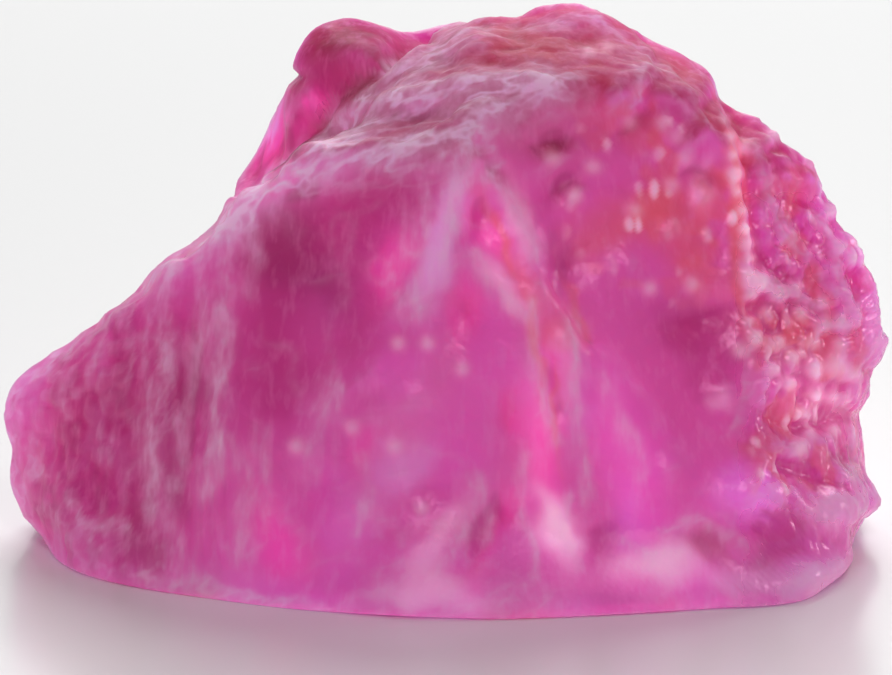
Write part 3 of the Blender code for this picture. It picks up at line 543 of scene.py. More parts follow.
# --- Where the colours lie ---
PALETTE = {
    "garnet": (0.33, 0.018, 0.130),
    "crimson": (0.50, 0.028, 0.215),
    "rose": (0.70, 0.095, 0.42),
    "mauve": (0.58, 0.120, 0.30),
    "magenta": (0.76, 0.084, 0.50),
    "cerise": (0.88, 0.055, 0.42),
    "coral": (0.74, 0.120, 0.185),
    "violet": (0.80, 0.150, 0.70),
    "lilac": (0.80, 0.340, 0.76),
    "blush": (0.95, 0.420, 0.72),
    # pale pink of painted glints and highlights on beads, flecks and the foot's bosses
    "painted_glint": (0.97, 0.620, 0.80),
}
# Patches of colour in the front: colour, share, middle (u, v), half length and width, turn.
PATCHES = [
    ("crimson", [(1, -9, 3.2, 4.4, 2.8, 70), (0.95, -3.6, 7.2, 3.6, 2.2, 70),
        (0.8, -4.6, 4.8, 1.3, 1.2, 90), (0.9, -1.7, 9.9, 1.8, 1, 15)]),
    ("garnet", [(0.85, -4.5, 8.4, 1.7, 1.1, 100), (0.6, -3.3, 7.3, 1.2, 0.7, 100),
        (0.45, -9.2, 3.2, 1.6, 0.8, 100), (0.8, -8.4, 0.5, 1.4, 0.6, 95),
        (0.55, -10.7, 1.2, 0.6, 0.45, 0), (0.6, -7.1, 4.6, 1.3, 0.5, 92),
        (0.6, -7.3, 2.2, 1.3, 0.4, 95)]),
    ("rose", [(0.7, -3.2, 3.6, 1.4, 0.8, 60)]),
    ("magenta", [(0.8, -1.1, 5, 0.9, 0.6, 60), (0.8, 1.2, 5.3, 1.8, 0.7, 95), (0.8, -3, 1, 1.6, 0.8, 100),
        (0.9, 5, 2.6, 2.8, 0.9, 108), (0.8, 0.4, 3.4, 1.5, 1, 80)]),
    ("cerise", [(0.7, -4.5, 0.5, 1.2, 0.5, 115), (0.6, -2.3, 2.9, 0.7, 0.5, 60),
        (0.65, -1.3, 7.9, 1.1, 0.6, 60), (0.7, 0.5, 6.7, 0.9, 0.4, 85), (0.75, 1, 8.9, 1, 0.5, 110),
        (0.9, 1.8, 3.9, 0.9, 0.35, 90), (0.9, 2.6, 2.9, 1.5, 0.5, 92), (0.85, 3, 4.9, 1.6, 0.55, 95),
        (0.85, 1.2, 0.6, 1.5, 0.35, 70), (0.9, 10.1, 3.9, 1.1, 0.8, 150),
        (0.6, 10.3, 1.9, 1.2, 0.5, 150)]),
    ("coral", [(0.5, 2.2, 7.3, 1.3, 0.5, 120), (0.55, 3, 6.1, 0.7, 0.5, 0), (0.6, 4.3, 8.8, 1, 0.7, 40),
        (0.9, 5.8, 9.4, 1.1, 0.8, 20), (0.7, 6.7, 8.2, 1, 0.7, 100), (0.95, 8, 9.4, 2.8, 0.34, 96),
        (0.9, 9.2, 5.9, 1.4, 0.8, 160), (0.6, 9.1, 9.9, 0.7, 0.4, 0), (0.6, 8.6, 3.2, 0.9, 0.5, 40),
        (1, 2.1, 13.9, 1.2, 0.55, 0), (0.5, 5.4, 11.6, 0.8, 0.6, 0), (0.75, 1.5, 8.7, 1.4, 0.14, 112),
        (0.75, 2.3, 6, 1.4, 0.13, 95), (0.6, 2.9, 3.9, 1.3, 0.12, 98), (0.55, 3.5, 6.6, 1.1, 0.14, 105),
        (0.75, 7.7, 11.2, 1.2, 0.16, 118), (0.7, 8.15, 7.4, 1.1, 0.16, 92)]),
    ("crimson", [(0.85, 6.9, 6.2, 1.6, 0.8, -20), (0.6, 7.2, 4.9, 0.8, 0.6, 0),
        (0.6, 3.3, 8.1, 0.7, 0.5, 80), (0.3, 3.2, 10.3, 0.8, 0.5, 60)]),
    ("mauve", [(0.8, 2.4, 12.1, 1.8, 1.3, 10), (0.8, 7.2, 0.35, 0.7, 0.4, 10),
        (0.6, 8.6, -0.7, 1, 0.4, 10)]),
    ("magenta", [(0.8, 6.5, 12.7, 1.2, 0.7, 125), (0.6, 4.1, 13.4, 0.8, 0.5, 0),
        (0.6, 9.2, 8.8, 1, 0.6, 120)]),
    ("violet", [(0.9, 8.3, 1.8, 1.1, 0.8, 10), (0.45, 4.9, 0.9, 1, 0.6, 105),
        (0.3, 3.6, 4, 1.2, 0.5, 90)]),
    ("lilac", [(0.9, -0.15, 8.2, 1.4, 0.42, 78), (0.5, 0.35, 9.8, 0.8, 0.4, 80),
        (0.55, -0.9, 2.5, 1, 0.6, 30), (0.5, 3, 14.6, 0.8, 0.3, 0)]),
    # blush on the foot's bosses is painted highlight
    ("blush", [(0.6, 2, 9.3, 1.1, 0.4, 110), (0.6, 1.5, 7.4, 0.9, 0.3, 130),
        (0.92, 2.9, 0.8, 1.2, 0.4, 115), (0.6, -0.2, 0.2, 1.7, 0.35, 62), (0.6, -0.5, -1.1, 1.4, 0.4, 0),
        (0.75, 5.8, -0.3, 1.5, 0.5, 8), (0.7, 9.9, -0.6, 0.9, 0.5, 10), (0.6, 8.2, -0.5, 0.9, 0.45, 10)]),
    # the pale patches on the bosses at (2.9, 0.9) and (5.8, -0.3) are painted glints
    ("painted_glint", [(0.4, 2.9, 0.9, 0.7, 0.25, 115), (0.25, 5.8, -0.3, 0.9, 0.3, 8)]),
    ("crimson", [(0.35, 6.4, 12.6, 1.2, 0.5, 125), (0.35, -9.2, 2.6, 1.2, 2.4, 0)]),
    # the blush at (5.8, -0.3) and the pale patch at (2.9, 0.8) are painted highlights
    ("blush", [(0.08, 2.2, 4.6, 2.6, 3.4, 0), (0.1, 10.2, 1.6, 1.4, 1.2, 0),
        (0.15, 5.8, -0.3, 1.3, 0.6, 0)]),
    ("painted_glint", [(0.22, 2.9, 0.8, 0.8, 0.6, 0)]), ("crimson", [(0.65, 10, 3.9, 1.4, 1, 60)]),
    ("blush", [(0.3, 3.1, 5, 1.3, 0.3, 95), (0.15, -1, 4.2, 1.8, 1, 60)]),
    ("lilac", [(0.22, -2.4, 1.1, 1.3, 0.7, 60), (0.85, -1.4, 13.8, 0.7, 0.35, 20)]),
    ("rose", [(0.4, -3.5, 6, 1.2, 0.8, 90)]),
    # blush on the flank's bosses is painted highlight
    ("blush", [(0.7, 10.6, 1.3, 0.7, 0.5, 0), (0.8, 10.4, 5, 0.5, 0.5, 0), (0.6, 11.5, 6.2, 0.6, 0.9, 0),
        (0.8, 7.05, 10, 0.7, 0.3, 80), (0.7, 8.6, 7.5, 0.5, 0.3, 150), (0.5, 7.6, 4.4, 0.4, 0.4, 0)]),
    ("cerise", [(1, -4.7, 11, 1.5, 0.7, 62)]),
    ("garnet", [(0.85, -4.2, 11.5, 0.8, 0.13, 78), (0.7, -5, 10.9, 0.7, 0.1, 60)]),
    ("cerise", [(0.9, -3.5, 12.2, 0.4, 0.25, 20)]), ("crimson", [(0.8, -3.6, 12.6, 0.7, 0.3, 10)]),
    ("garnet", [(0.9, -3.9, 12.85, 0.6, 0.12, 5)]), ("violet", [(0.7, -5.2, 10.2, 0.5, 0.15, 60)]),
    ("lilac", [(0.8, -4.7, 11.8, 0.5, 0.16, 65)]), ("crimson", [(0.7, -3.3, 14.3, 0.9, 0.35, 20)]),
    ("garnet", [(1, -2.9, 13.6, 1.9, 1.3, 0)]), ("mauve", [(0.6, -1.7, 13.3, 1.3, 0.6, 20)]),
    ("magenta", [(0.6, -1.6, 13.9, 1, 0.3, 0)]), ("lilac", [(0.4, -1.4, 13.8, 0.6, 0.35, 20)]),
    ("blush", [(0.1, -6, -0.7, 1.3, 0.6, 0), (0.08, -4.7, 11.1, 0.6, 0.6, 0)]),
    # garnet in the hollows of the brow and crown is painted shade
    ("garnet", [(0.8, -4.1, 10.1, 0.5, 0.3, 30), (0.8, -2.7, 11.6, 0.8, 0.26, 25),
        (0.8, -0.9, 12, 0.8, 0.26, 12), (0.75, -0.1, 13.4, 0.6, 0.26, 10),
        (0.6, 0.95, 14.4, 0.4, 0.22, 0)]),
]
PATCH_STRAY = ((0.9, 0.30), (0.35, 0.12))
PATCH_EDGE = 1.5  # 1 is a soft edge, more is a firmer one
# Behind, colours drift into each other instead: colour, size, seed.
DRIFTS = [("crimson", 3.4, 81), ("magenta", 2.6, 82), ("cerise", 1.9, 83),
          ("coral", 2.2, 84), ("garnet", 1.5, 85), ("lilac", 1.7, 86)]
DRIFT_SHARE = 0.8
DRIFT_EDGE = (0.0, 0.6)
DRIFT_STRETCH = (1.0, 1.0, 0.6)
# Then colours by what the skin is like: colour, share, place, and the measure and its limits
# between which the colour comes in.  The bulge rows are painted light: crimson and garnet in
# hollows are painted shade and lilac on the etched flank's bumps is a painted highlight; the
# mottle rows are the stone's own colour.
SKIN_TINTS_AND_PAINTED_LIGHT = [
    ("crimson", 0.75, "etched", "bulge", (0.01, -0.05)),
    ("lilac", 0.30, "etched", "bulge", (0.03, 0.09)),
    ("garnet", 0.40, "plain", "bulge", (-0.02, -0.08)),
    ("coral", 0.55, "flecked", "mottle", (0.0, 0.4)),
    ("lilac", 0.12, "left end", "mottle", (0.1, 0.6)),
    ("garnet", 0.40, "left end", "mottle", (-0.1, -0.6)),
]
ETCHED_FOOT = (0.0, 2.0)  # the etched flank's colours start across these v
MOTTLE = (0.8, 0.4, 0.6)  # size of its broad grain, and size and share of its fine one
MOTTLE_STRETCH = (1.0, 1.0, 0.7)
UPPER_TILT = (0.25, 0.75)  # faces whose normals rise this much, above these v, are upper
UPPER_FOOT = (8.5, 11.5)
UPPER_PAINTED_SHADE = np.array([0.46, 0.90, 0.78])  # painted shade: how much darker upper faces are painted, per channel
HAZE_SIDES = (0.45, 1.25)  # a run of haze is cut off sharply on its left
HAZE_STRAY = ((0.8, 0.22), (0.3, 0.10))
STRAND_SIDES = (0.8, 1.3)
STRAND_STRAY = ((1.1, 0.22), (0.45, 0.07))
BULGE_OVER = 0.35  # a bulge is measured over this length
WORN_BULGE = (0.01, 0.07)  # an edge that bulges this much is worn milky,
WORN_EDGE = 0.55  # by this share,
WORN_THREAD = 0.5  # threads of haze add this much,
WORN_FRONT = 0.4  # and this share of both is left in front
THREAD_GRAIN = (0.9, 2.2)  # size of the threads' pattern and how thin they are
THREAD_FIELD = (3.0, -0.2, 0.5)  # they lie in patches of this size, between these levels
NO_HAZE = (0.8, 2.4)  # it fades out this near the middle of the knob

# Milky haze on worn edges and healed cracks: strength, half width, run of (u, v).
HAZES = [
    (0.95, 0.62, [(-6.2, 9.1), (-5.2, 9.8), (-4.3, 10.5), (-3.4, 11.3), (-2.4, 12.3), (-1.6, 12.9)]),
    (0.95, 0.66, [(-4.9, 9.9), (-3.8, 10.6), (-2.6, 11), (-1.2, 11.2), (0.2, 11.6), (1.4, 12.2)]),
    (1, 0.66, [(-2.2, 12.3), (-1, 12.6), (0.6, 12.8), (1.9, 13), (2.8, 13.1)]),
    (0.6, 0.35, [(-2.4, 11.9), (-1.6, 12.3), (-0.2, 12.4)]),
    (0.85, 0.36, [(-1.6, 13.3), (-1, 13.4), (-0.2, 13.9), (0.4, 14.3)]),
    (0.35, 0.2, [(0.2, 13.4), (0.7, 13.7), (1.2, 14.3)]),
    (0.6, 0.35, [(0.6, 12), (1.3, 11.4), (1.4, 10.6)]),
    (0.55, 0.3, [(2.4, 14.6), (3.6, 14.7), (4.6, 14.4), (5.3, 13.8), (5.5, 13.1), (5.2, 12.5)]),
    (0.3, 0.2, [(6, 13.3), (6.7, 12.6), (7.2, 11.9)]),
    (0.3, 0.2, [(5.6, 13.4), (6.4, 12.2), (7.2, 11.8)]),
    (0.6, 0.28, [(-7.2, 8.3), (-8.6, 7.1), (-9.8, 6), (-11, 5.1), (-11.8, 4.4)]),
    (0.5, 0.22, [(-11.9, 4.2), (-11.8, 2.6), (-11.6, 1.6)]),
    (0.35, 0.16, [(-9.3, 6.3), (-9.5, 5.2), (-10, 4.4)]),
    (0.3, 0.15, [(-8.6, 6.8), (-8.5, 5.6), (-8.8, 4.2)]),
    (0.5, 0.22, [(-11.5, 4.9), (-11.7, 3.4)]),
    (0.4, 0.2, [(-10.4, 5), (-10.3, 4)]),
    (0.45, 0.2, [(-11.3, 3), (-11.2, 2)]),
    (0.45, 0.22, [(-10.2, 1.4), (-9.6, 0.4)]),
    (0.4, 0.25, [(-9.8, 0.9), (-8.7, 0.7)]),
    (0.45, 0.35, [(-8.2, -0.5), (-6.5, -0.8), (-4.8, -1.1), (-3.4, -1.3)]),
    (0.4, 0.2, [(8.5, 11.2), (8.9, 10.2), (9, 9), (9.7, 8.2)]),
    (0.45, 0.22, [(8.4, 7.6), (9.2, 7.2), (10.2, 6.9), (10.9, 6.3)]),
    (0.45, 0.22, [(10.1, 9.4), (10.6, 8.2), (11.1, 6.8)]),
    (0.35, 0.2, [(9.2, 9.2), (9.9, 8.2), (10.6, 7.2)]),
    (0.4, 0.2, [(10.7, 4.4), (11.2, 3.6), (11.2, 2.4)]),
    (0.35, 0.25, [(7.7, 3.6), (8.3, 4.6), (8.4, 5.6)]),
    (0.35, 0.3, [(6, 0.8), (7, 1.2), (8, 0.4)]),
]
# Smooth milky strands of healed cracks in the broad front, drawn the same way.
STRANDS = [
    (0.62, 0.28, [(-6.1, 9), (-5.9, 7.6), (-6, 6), (-6.2, 4.2), (-6.1, 3), (-6.4, 1.6)]),
    (0.48, 0.22, [(-6.6, 8.6), (-6.7, 7.4), (-6.5, 6.2), (-6.9, 5), (-7.1, 3.6), (-7.2, 1.8)]),
    (0.55, 0.24, [(-7.3, 8.1), (-7.7, 7), (-7.4, 6), (-7.8, 4.6), (-8, 3), (-7.8, 1.2)]),
    (0.35, 0.18, [(-7.9, 7.6), (-8, 6.4), (-8.2, 5.4), (-8.1, 4.4)]),
    (0.4, 0.22, [(-5.3, 9.2), (-5.2, 8.2), (-5.4, 7)]),
    (0.4, 0.26, [(-5.8, 3.2), (-5.4, 1.6), (-5.3, 0)]),
    (0.35, 0.24, [(-7.4, 1.8), (-7.2, 0.4), (-6.9, -0.6)]),
    (0.45, 0.3, [(-3, 4.6), (-3.4, 3.4), (-3.8, 2.2)]),
    (0.35, 0.22, [(-4.9, 3.4), (-5, 2.2), (-4.8, 1.2)]),
    (0.6, 0.34, [(0.6, 10.9), (0.2, 9.4), (-0.2, 8), (-0.9, 6.8)]),
    (0.4, 0.24, [(-0.3, 9.8), (-0.7, 8.6), (-1.2, 7.6)]),
    (0.45, 0.25, [(1.3, 10.4), (2, 9.2), (2.5, 8.3)]),
    (0.45, 0.2, [(0.8, 8.2), (1.6, 7.2), (2.1, 6.6)]),
    (0.5, 0.18, [(2.3, 7), (2.3, 5.6), (2.7, 4.2), (3, 3)]),
    (0.5, 0.2, [(3.5, 6.4), (3.5, 4.6), (3.7, 3.2), (4, 1.6)]),
    (0.35, 0.2, [(4.4, 5), (4.9, 3.6), (5.4, 2.2)]),
    (0.4, 0.22, [(1.1, 1.8), (0.6, 0.7), (0, -0.4)]),
    (0.4, 0.18, [(-2.3, 2.6), (-2, 1.6), (-2.3, 0.6)]),
    (0.45, 0.14, [(2.3, 2.6), (2.2, 1.6), (2.5, 0.4), (2.3, -0.6)]),
    (0.4, 0.14, [(3.4, 1.6), (3.3, 0.6), (3.7, -0.4)]),
    (0.4, 0.16, [(4.9, 0.4), (5.6, 0.1), (6.6, 0.2)]),
    (0.35, 0.16, [(0.9, 2.2), (1.3, 1.2), (1.2, 0.2)]),
]

# Beads, in rows on the lower flank and strewn over the front: (u, v) and radius.
BEADS = [
    (8, 5.6, 0.22), (8.4, 5.95, 0.2), (9, 5.8, 0.24), (9.4, 5.4, 0.22), (9.95, 5.8, 0.2), (10, 5.1, 0.24),
    (10.6, 5.2, 0.3), (11.05, 4.95, 0.22), (10.7, 5.75, 0.22), (9.3, 4.7, 0.2), (10, 4.4, 0.22),
    (10.5, 4.35, 0.2), (9.7, 3.9, 0.2), (10.5, 3.4, 0.22), (9.6, 2.95, 0.24), (11.05, 2.3, 0.24),
    (8.7, 6.6, 0.2), (9.6, 6.6, 0.2), (10.2, 6.3, 0.2), (9.9, 3.3, 0.18), (8.9, 5.1, 0.18),
    (-0.5, 5.8, 0.2), (-1.3, 5.8, 0.2), (0.45, 5.1, 0.2), (-0.65, 1.3, 0.2), (-1.4, 3, 0.22),
    (-2.55, 3.5, 0.2), (-4.05, 3, 0.22), (3.5, 9.85, 0.2), (2.9, 10.85, 0.22), (4, 10.6, 0.2),
    (5.9, 11.8, 0.2), (6.3, 11.4, 0.22), (6.5, 10.8, 0.22), (6.15, 10.1, 0.22), (5.15, 9.4, 0.2),
    (5.55, 7.3, 0.2), (6.7, 7.4, 0.2), (5, 11.8, 0.2), (3.9, 13.75, 0.18), (4.4, 13.85, 0.18),
    (8.1, 11.1, 0.18), (7.8, 10.4, 0.18), (8.2, 8.5, 0.2), (8.9, 11.4, 0.18), (8.5, 7.45, 0.24),
    (9, 7.15, 0.22), (9.5, 7.3, 0.2), (10.2, 6.9, 0.2), (10.7, 6.35, 0.22), (10.45, 9.4, 0.18),
    (10.7, 8.4, 0.18), (11, 8.1, 0.16), (7.6, 11.9, 0.13), (7.75, 11.4, 0.14), (7.8, 10.9, 0.13),
    (7.95, 10.4, 0.15), (7.9, 9.9, 0.13), (8.05, 9.4, 0.15), (8.1, 8.9, 0.14), (8.25, 8.1, 0.14),
    (8.2, 7.7, 0.15), (8.3, 7.1, 0.15), (8.25, 6.4, 0.14), (7.1, 8.8, 0.14),
]
BEAD_HEIGHT = (0.05, 0.14)  # on the front and on the flank
BEAD_PAINTED_GLINT = (0.45, 0.60)  # painted glints: how pale the beads are painted in front and on the flank
BEADS_BOLD = (7.2, 7.9)  # they turn bolder across these u
# Where edges are less milky: how much less, and the u and the v across which that starts.
LESS_WORN_RIGHT = (0.75, (6.6, 7.6), (1.0, 3.0))
LESS_WORN_TOP = (0.80, (0.4, 1.4), (13.0, 13.8))
# Painted glow, given off by the stone as emission in place of light from behind welling
# up: strength, middle (u, v), half length and width, turn.
PAINTED_GLOWS = [
    (0.35, -4.9, 10.8, 1.2, 0.4, 62), (0.7, -3.5, 12.3, 0.4, 0.25, 20), (0.5, 2.9, 0.8, 1.3, 0.6, 115),
    (0.5, 2.6, 3.6, 2.2, 0.5, 92), (0.3, -1.3, 8, 1.4, 0.6, 60), (0.5, 1.4, 8.6, 1.6, 0.6, 115),
    (0.6, 10, 4.3, 1.6, 1, 150), (0.5, 8.1, 9.5, 2.4, 0.35, 95), (0.4, 8.3, 1.8, 1.1, 0.8, 10),
    (0.4, 5, 2.6, 2.6, 0.9, 108), (0.4, 5.9, -0.3, 1.6, 0.6, 8), (0.2, -4.5, 0.5, 1.4, 0.6, 115),
]
BODY_RIGHT = (8.3, 7.2)  # the broad front ends across these u
GLOW_STRAY = ((1.0, 0.25),)
GLOW_ALL = 0.36
GLOW_BODY = 0.14  # added on the broad front
GLOW_BODY_HEAD = (11.8, 9.8)
GLOW_FOOT = 0.30  # added towards the ground, below these heights
GLOW_FOOT_HEAD = (5.0, -0.5)
GLOW_RIM = 0.45  # share of it that is left where the surface turns away
# Roughness of the skin, and what places add to it.
ROUGH_SKIN = 0.24
ROUGH_BODY = (0.10, (12.5, 10.5))  # on the broad front below these v
ROUGH_TOP = (0.46, (-3.2, -1.8), (9.5, 12.0))  # right of these u and above these v
ROUGH_FIN = (0.25, (-3.4, -4.2), (9.3, 10.3))  # left of these u and above these v
ROUGH_KNOB = (0.34, (2.0, 1.0))  # nearer to the knob's middle than this
ROUGH_FOOT = (0.10, (3.0, 1.0))  # on the broad front below these heights
FLECK_FLANK = (FLANK_LEFT, (0.5, 2.5))  # flecks lie right of these u and above these v
FLECK_UPPER = ((2.6, 5.0), (6.0, 8.5))
FLECK_CROWN = ((-1.5, 1.5), (12.8, 13.6))
FLECKS = (0.55, (1.0, 1.0, 1.7))  # size and how drawn out
FLECK_STRAY = 0.3  # they are pulled out of line by this share of their size
FLECK_RIM = (0.38, 0.12)  # their rim, as a share of their size
FLECK_FIELD = (1.6, -0.4, 0.5)  # they lie in patches this many sizes wide, between these levels
# painted glints: how pale the flecks are painted
FLECK_PAINTED_GLINT = 0.90
MOTTLE_LEFT = (-7.6, -9.2)  # the left end is mottled past these u


def grid_sides(quads):
    """Each side of the squares once."""
    sides = np.concatenate([quads[:, [k, (k + 1) % 4]] for k in range(4)])
    return np.unique(np.sort(sides, axis=1), axis=0)


def wander(u, v, p, steps, seed):
    """Shift (u, v) by smooth random amounts, one pair (size, shift) after another."""
    for k, (size, shift) in enumerate(steps):
        u = u + shift * swell(p, size, seed + 2 * k)
        v = v + shift * swell(p, size, seed + 2 * k + 1)
    return u, v


def rounded_out(p, normal, edges, length):
    """How far the surface bulges past its own mean over a length: + on edges, - in hollows."""
    return ((p - soften(p, edges, length)) * normal).sum(1)


def beads_of(p, facing):
    """1 at the middle of each bead, falling off across its radius."""
    u, v, _ = to_plane(p)
    beads = np.zeros(len(p))
    for at_u, at_v, radius in BEADS:
        beads += np.exp(-((u - at_u) ** 2 + (v - at_v) ** 2) / radius ** 2)
    return np.minimum(beads, 1.0) * facing


def flecks_of(p, facing):
    """Where flecks lie: on the flank, the upper right of the front and the crown."""
    u, v, _ = to_plane(p)
    flank = past(u, v, *FLECK_FLANK)
    upper = past(u, v, *FLECK_UPPER) + past(u, v, *FLECK_CROWN)
    return facing * np.clip(np.maximum(flank, upper), 0.0, 1.0)


def ovals(p, size, drawn_out, seed):
    """1 in the middle of scattered ovals, in some places and not in others."""
    near = np.full(len(p), FAR_OFF)
    for _, _, d in grains(strayed(p, size, FLECK_STRAY * size, seed + 5) / drawn_out, size, seed):
        near = np.minimum(near, d)
    apart, *levels = FLECK_FIELD
    return smooth(*FLECK_RIM, np.sqrt(near)) * smooth(*levels, swell(p, apart * size, seed + 9))


def laid_over(colour, name, share):
    """A colour with one from the palette over it by a share at each point."""
    return colour + share[:, None] * (np.array(PALETTE[name]) - colour)


def tint_of(p, normal, facing, bulge):
    """Colour at each point: patches laid one over another in front, drifts of colour behind;
    the etched flank has painted shade in its pits and a painted highlight on its hills, other
    hollows get painted shade, beads and flecks get painted glints, and upper faces are
    darkened with painted shade."""
    u, v, _ = to_plane(p)
    u, v = wander(u, v, p, PATCH_STRAY, seed=71)
    colour = np.tile(np.array(PALETTE["rose"]), (len(p), 1))
    drift = colour
    for name, rows in PATCHES:
        for share, *place in rows:
            colour = laid_over(colour, name, share * np.exp(-oval(u, v, *place) ** PATCH_EDGE))
    for name, size, seed in DRIFTS:
        share = DRIFT_SHARE * smooth(*DRIFT_EDGE, swell(p * DRIFT_STRETCH, size, seed))
        drift = laid_over(drift, name, share)
    colour = drift + facing[:, None] * (colour - drift)
    etched = past(u, v, FLANK_LEFT, ETCHED_FOOT) * facing
    places = {"etched": etched, "plain": 1.0 - etched, "flecked": flecks_of(p, facing),
              "left end": smooth(*MOTTLE_LEFT, u) * facing}
    broad, fine, share = MOTTLE
    mottle = swell(p * MOTTLE_STRETCH, broad, 87) + share * swell(p, fine, 88)
    measures = {"bulge": bulge, "mottle": mottle}
    # the bulge rows paint shade into hollows and highlights onto the etched flank's bumps
    for name, share, place, measure, limits in SKIN_TINTS_AND_PAINTED_LIGHT:
        colour = laid_over(colour, name, share * places[place] * smooth(*limits, measures[measure]))
    # pale flecks are painted glints
    colour = laid_over(colour, "painted_glint", FLECK_PAINTED_GLINT * places["flecked"] * ovals(p, *FLECKS, 89))
    # painted shade: upper faces are darkened
    upper = smooth(*UPPER_TILT, normal[:, 2]) * smooth(*UPPER_FOOT, v)
    colour *= 1.0 - upper[:, None] * UPPER_PAINTED_SHADE
    # pale beads are painted glints
    low, high = BEAD_PAINTED_GLINT
    share = (low + (high - low) * smooth(*BEADS_BOLD, u)) * beads_of(p, facing)
    return laid_over(colour, "painted_glint", share)


def runs_of(p, lines, sides, stray, seed):
    """The strongest of a list of soft runs at each point, each (strength, half width, places)."""
    u, v, _ = to_plane(p)
    u, v = wander(u, v, p, stray, seed)
    drawn = np.zeros(len(p))
    for strength, width, line in lines:
        gap, side = from_run(u, v, line)
        wide = width * np.where(side > 0.0, *sides)
        drawn = np.maximum(drawn, strength * np.exp(-(gap / wide) ** 2))
    return drawn


def haze_of(p, facing, bulge):
    """Milky haze, 0 to 1: runs drawn in front, worn edges and threads all over."""
    drawn = runs_of(p, HAZES, HAZE_SIDES, HAZE_STRAY, 91)
    size, thin = THREAD_GRAIN
    thread = np.clip(1.0 - np.abs(swell(p, size, 95)) * thin, 0.0, 1.0) ** 2
    size, *levels = THREAD_FIELD
    thread *= smooth(*levels, swell(p, size, 96))
    u, v, _ = to_plane(p)
    worn = np.maximum(WORN_EDGE * smooth(*WORN_BULGE, bulge), WORN_THREAD * thread)
    share, *limits = LESS_WORN_RIGHT
    worn *= 1.0 - share * facing * past(u, v, *limits)
    share, *limits = LESS_WORN_TOP
    worn *= 1.0 - share * past(u, v, *limits)
    worn *= 1.0 - (1.0 - WORN_FRONT) * facing
    return np.clip(np.maximum(drawn * facing, worn), 0.0, 1.0) * smooth(*NO_HAZE, from_knob(p))


def painted_glow_of(p, facing):
    """Painted glow, given off as emission in place of light welling up through the stone:
    strongest in the foot and where it is drawn.
    """
    u, v, _ = to_plane(p)
    u, v = wander(u, v, p, GLOW_STRAY, seed=101)
    glow = GLOW_ALL + GLOW_FOOT * smooth(*GLOW_FOOT_HEAD, p[:, 2])
    glow += GLOW_BODY * past(u, v, BODY_RIGHT, GLOW_BODY_HEAD)
    for strength, *place in PAINTED_GLOWS:
        glow += strength * np.exp(-oval(u, v, *place))
    return glow * (GLOW_RIM + (1.0 - GLOW_RIM) * facing)


def rough_of(p, facing):
    """Roughness of the skin at each point."""
    u, v, _ = to_plane(p)
    body = facing * smooth(*BODY_RIGHT, u)
    more, limits = ROUGH_BODY
    rough = ROUGH_SKIN + more * body * smooth(*limits, v)
    more, *limits = ROUGH_TOP
    rough += more * facing * past(u, v, *limits)
    more, *limits = ROUGH_FIN
    rough += more * past(u, v, *limits)
    more, limits = ROUGH_KNOB
    rough += more * smooth(*limits, from_knob(p))
    more, limits = ROUGH_FOOT
    return rough + more * body * smooth(*limits, p[:, 2])


# --- The stone's skin ---
GRID = 127  # squares along each side of the six grids
FRONT_PULL = (0.08, -0.34, 0.06)  # draws the grid together in front, where it shows most
FINE_HILLS = (0.48, 0.045)  # etching too fine for the solid: size and height
FINE_HILL_STRETCH = (1.0, 1.0, 1.4)
FINE_HILL_STRAY = (0.9, 0.15)
FINE_FLATS = (0.60, 0.030, 30.0)
FINE_GRAIN = (0.45, 0.010)
STRIAE = (0.33, 0.022)  # upright growth lines on the left: spacing and height
STRIAE_RIGHT = (-5.0, -6.2)
STRIAE_WAVY = (1.2, 0.35)  # they waver over 1.2 mm by this much
STRIAE_STRETCH = (1.0, 1.0, 0.35)
STRIAE_FIELD = (1.5, -0.3, 0.5)  # and come and go in patches of this size
TOP_TILT = (0.15, 0.55)  # the top's pits lie on normals that rise this much
TOP_FOOT = (9.0, 11.0)
RIM_PITS = (0.85, 0.060)
END_PITS = (0.70, 0.060)
FLECK_HEIGHT = 0.050
FINE_FRONT = 0.35  # share of the small flats' height that is left in front
FINE_FOOT = (0.05, 0.4)  # no fine relief below these heights
SKIN_FACING = (-0.05, 0.30)


def six_grids(n):
    """Directions on a ball: each face of a cube is an even n by n grid of angles, pushed out to
    the ball by tan(angle), and points that the six grids share are kept once."""
    t = np.tan(np.linspace(-np.pi / 4, np.pi / 4, n + 1))
    a, b = np.meshgrid(t, t, indexing="ij")
    one = np.ones_like(a)
    sides = []
    for axis in range(3):
        for sign in (-1.0, 1.0):
            way = np.empty((n + 1, n + 1, 3))
            way[..., axis] = sign * one
            way[..., (axis + 1) % 3] = a * sign
            way[..., (axis + 2) % 3] = b
            sides.append(way.reshape(-1, 3))
    points = np.concatenate(sides)
    keys = np.round(points / np.abs(points).max(axis=1)[:, None] * 1e5).astype(np.int64)
    _, first, back = np.unique(keys, axis=0, return_index=True, return_inverse=True)
    i, j = np.meshgrid(np.arange(n), np.arange(n), indexing="ij")
    corner = (i * (n + 1) + j).ravel()
    quad = np.stack([corner, corner + n + 1, corner + n + 2, corner + 1], 1)
    quads = np.concatenate([quad + k * (n + 1) ** 2 for k in range(6)])
    return points[first], back.ravel()[quads]


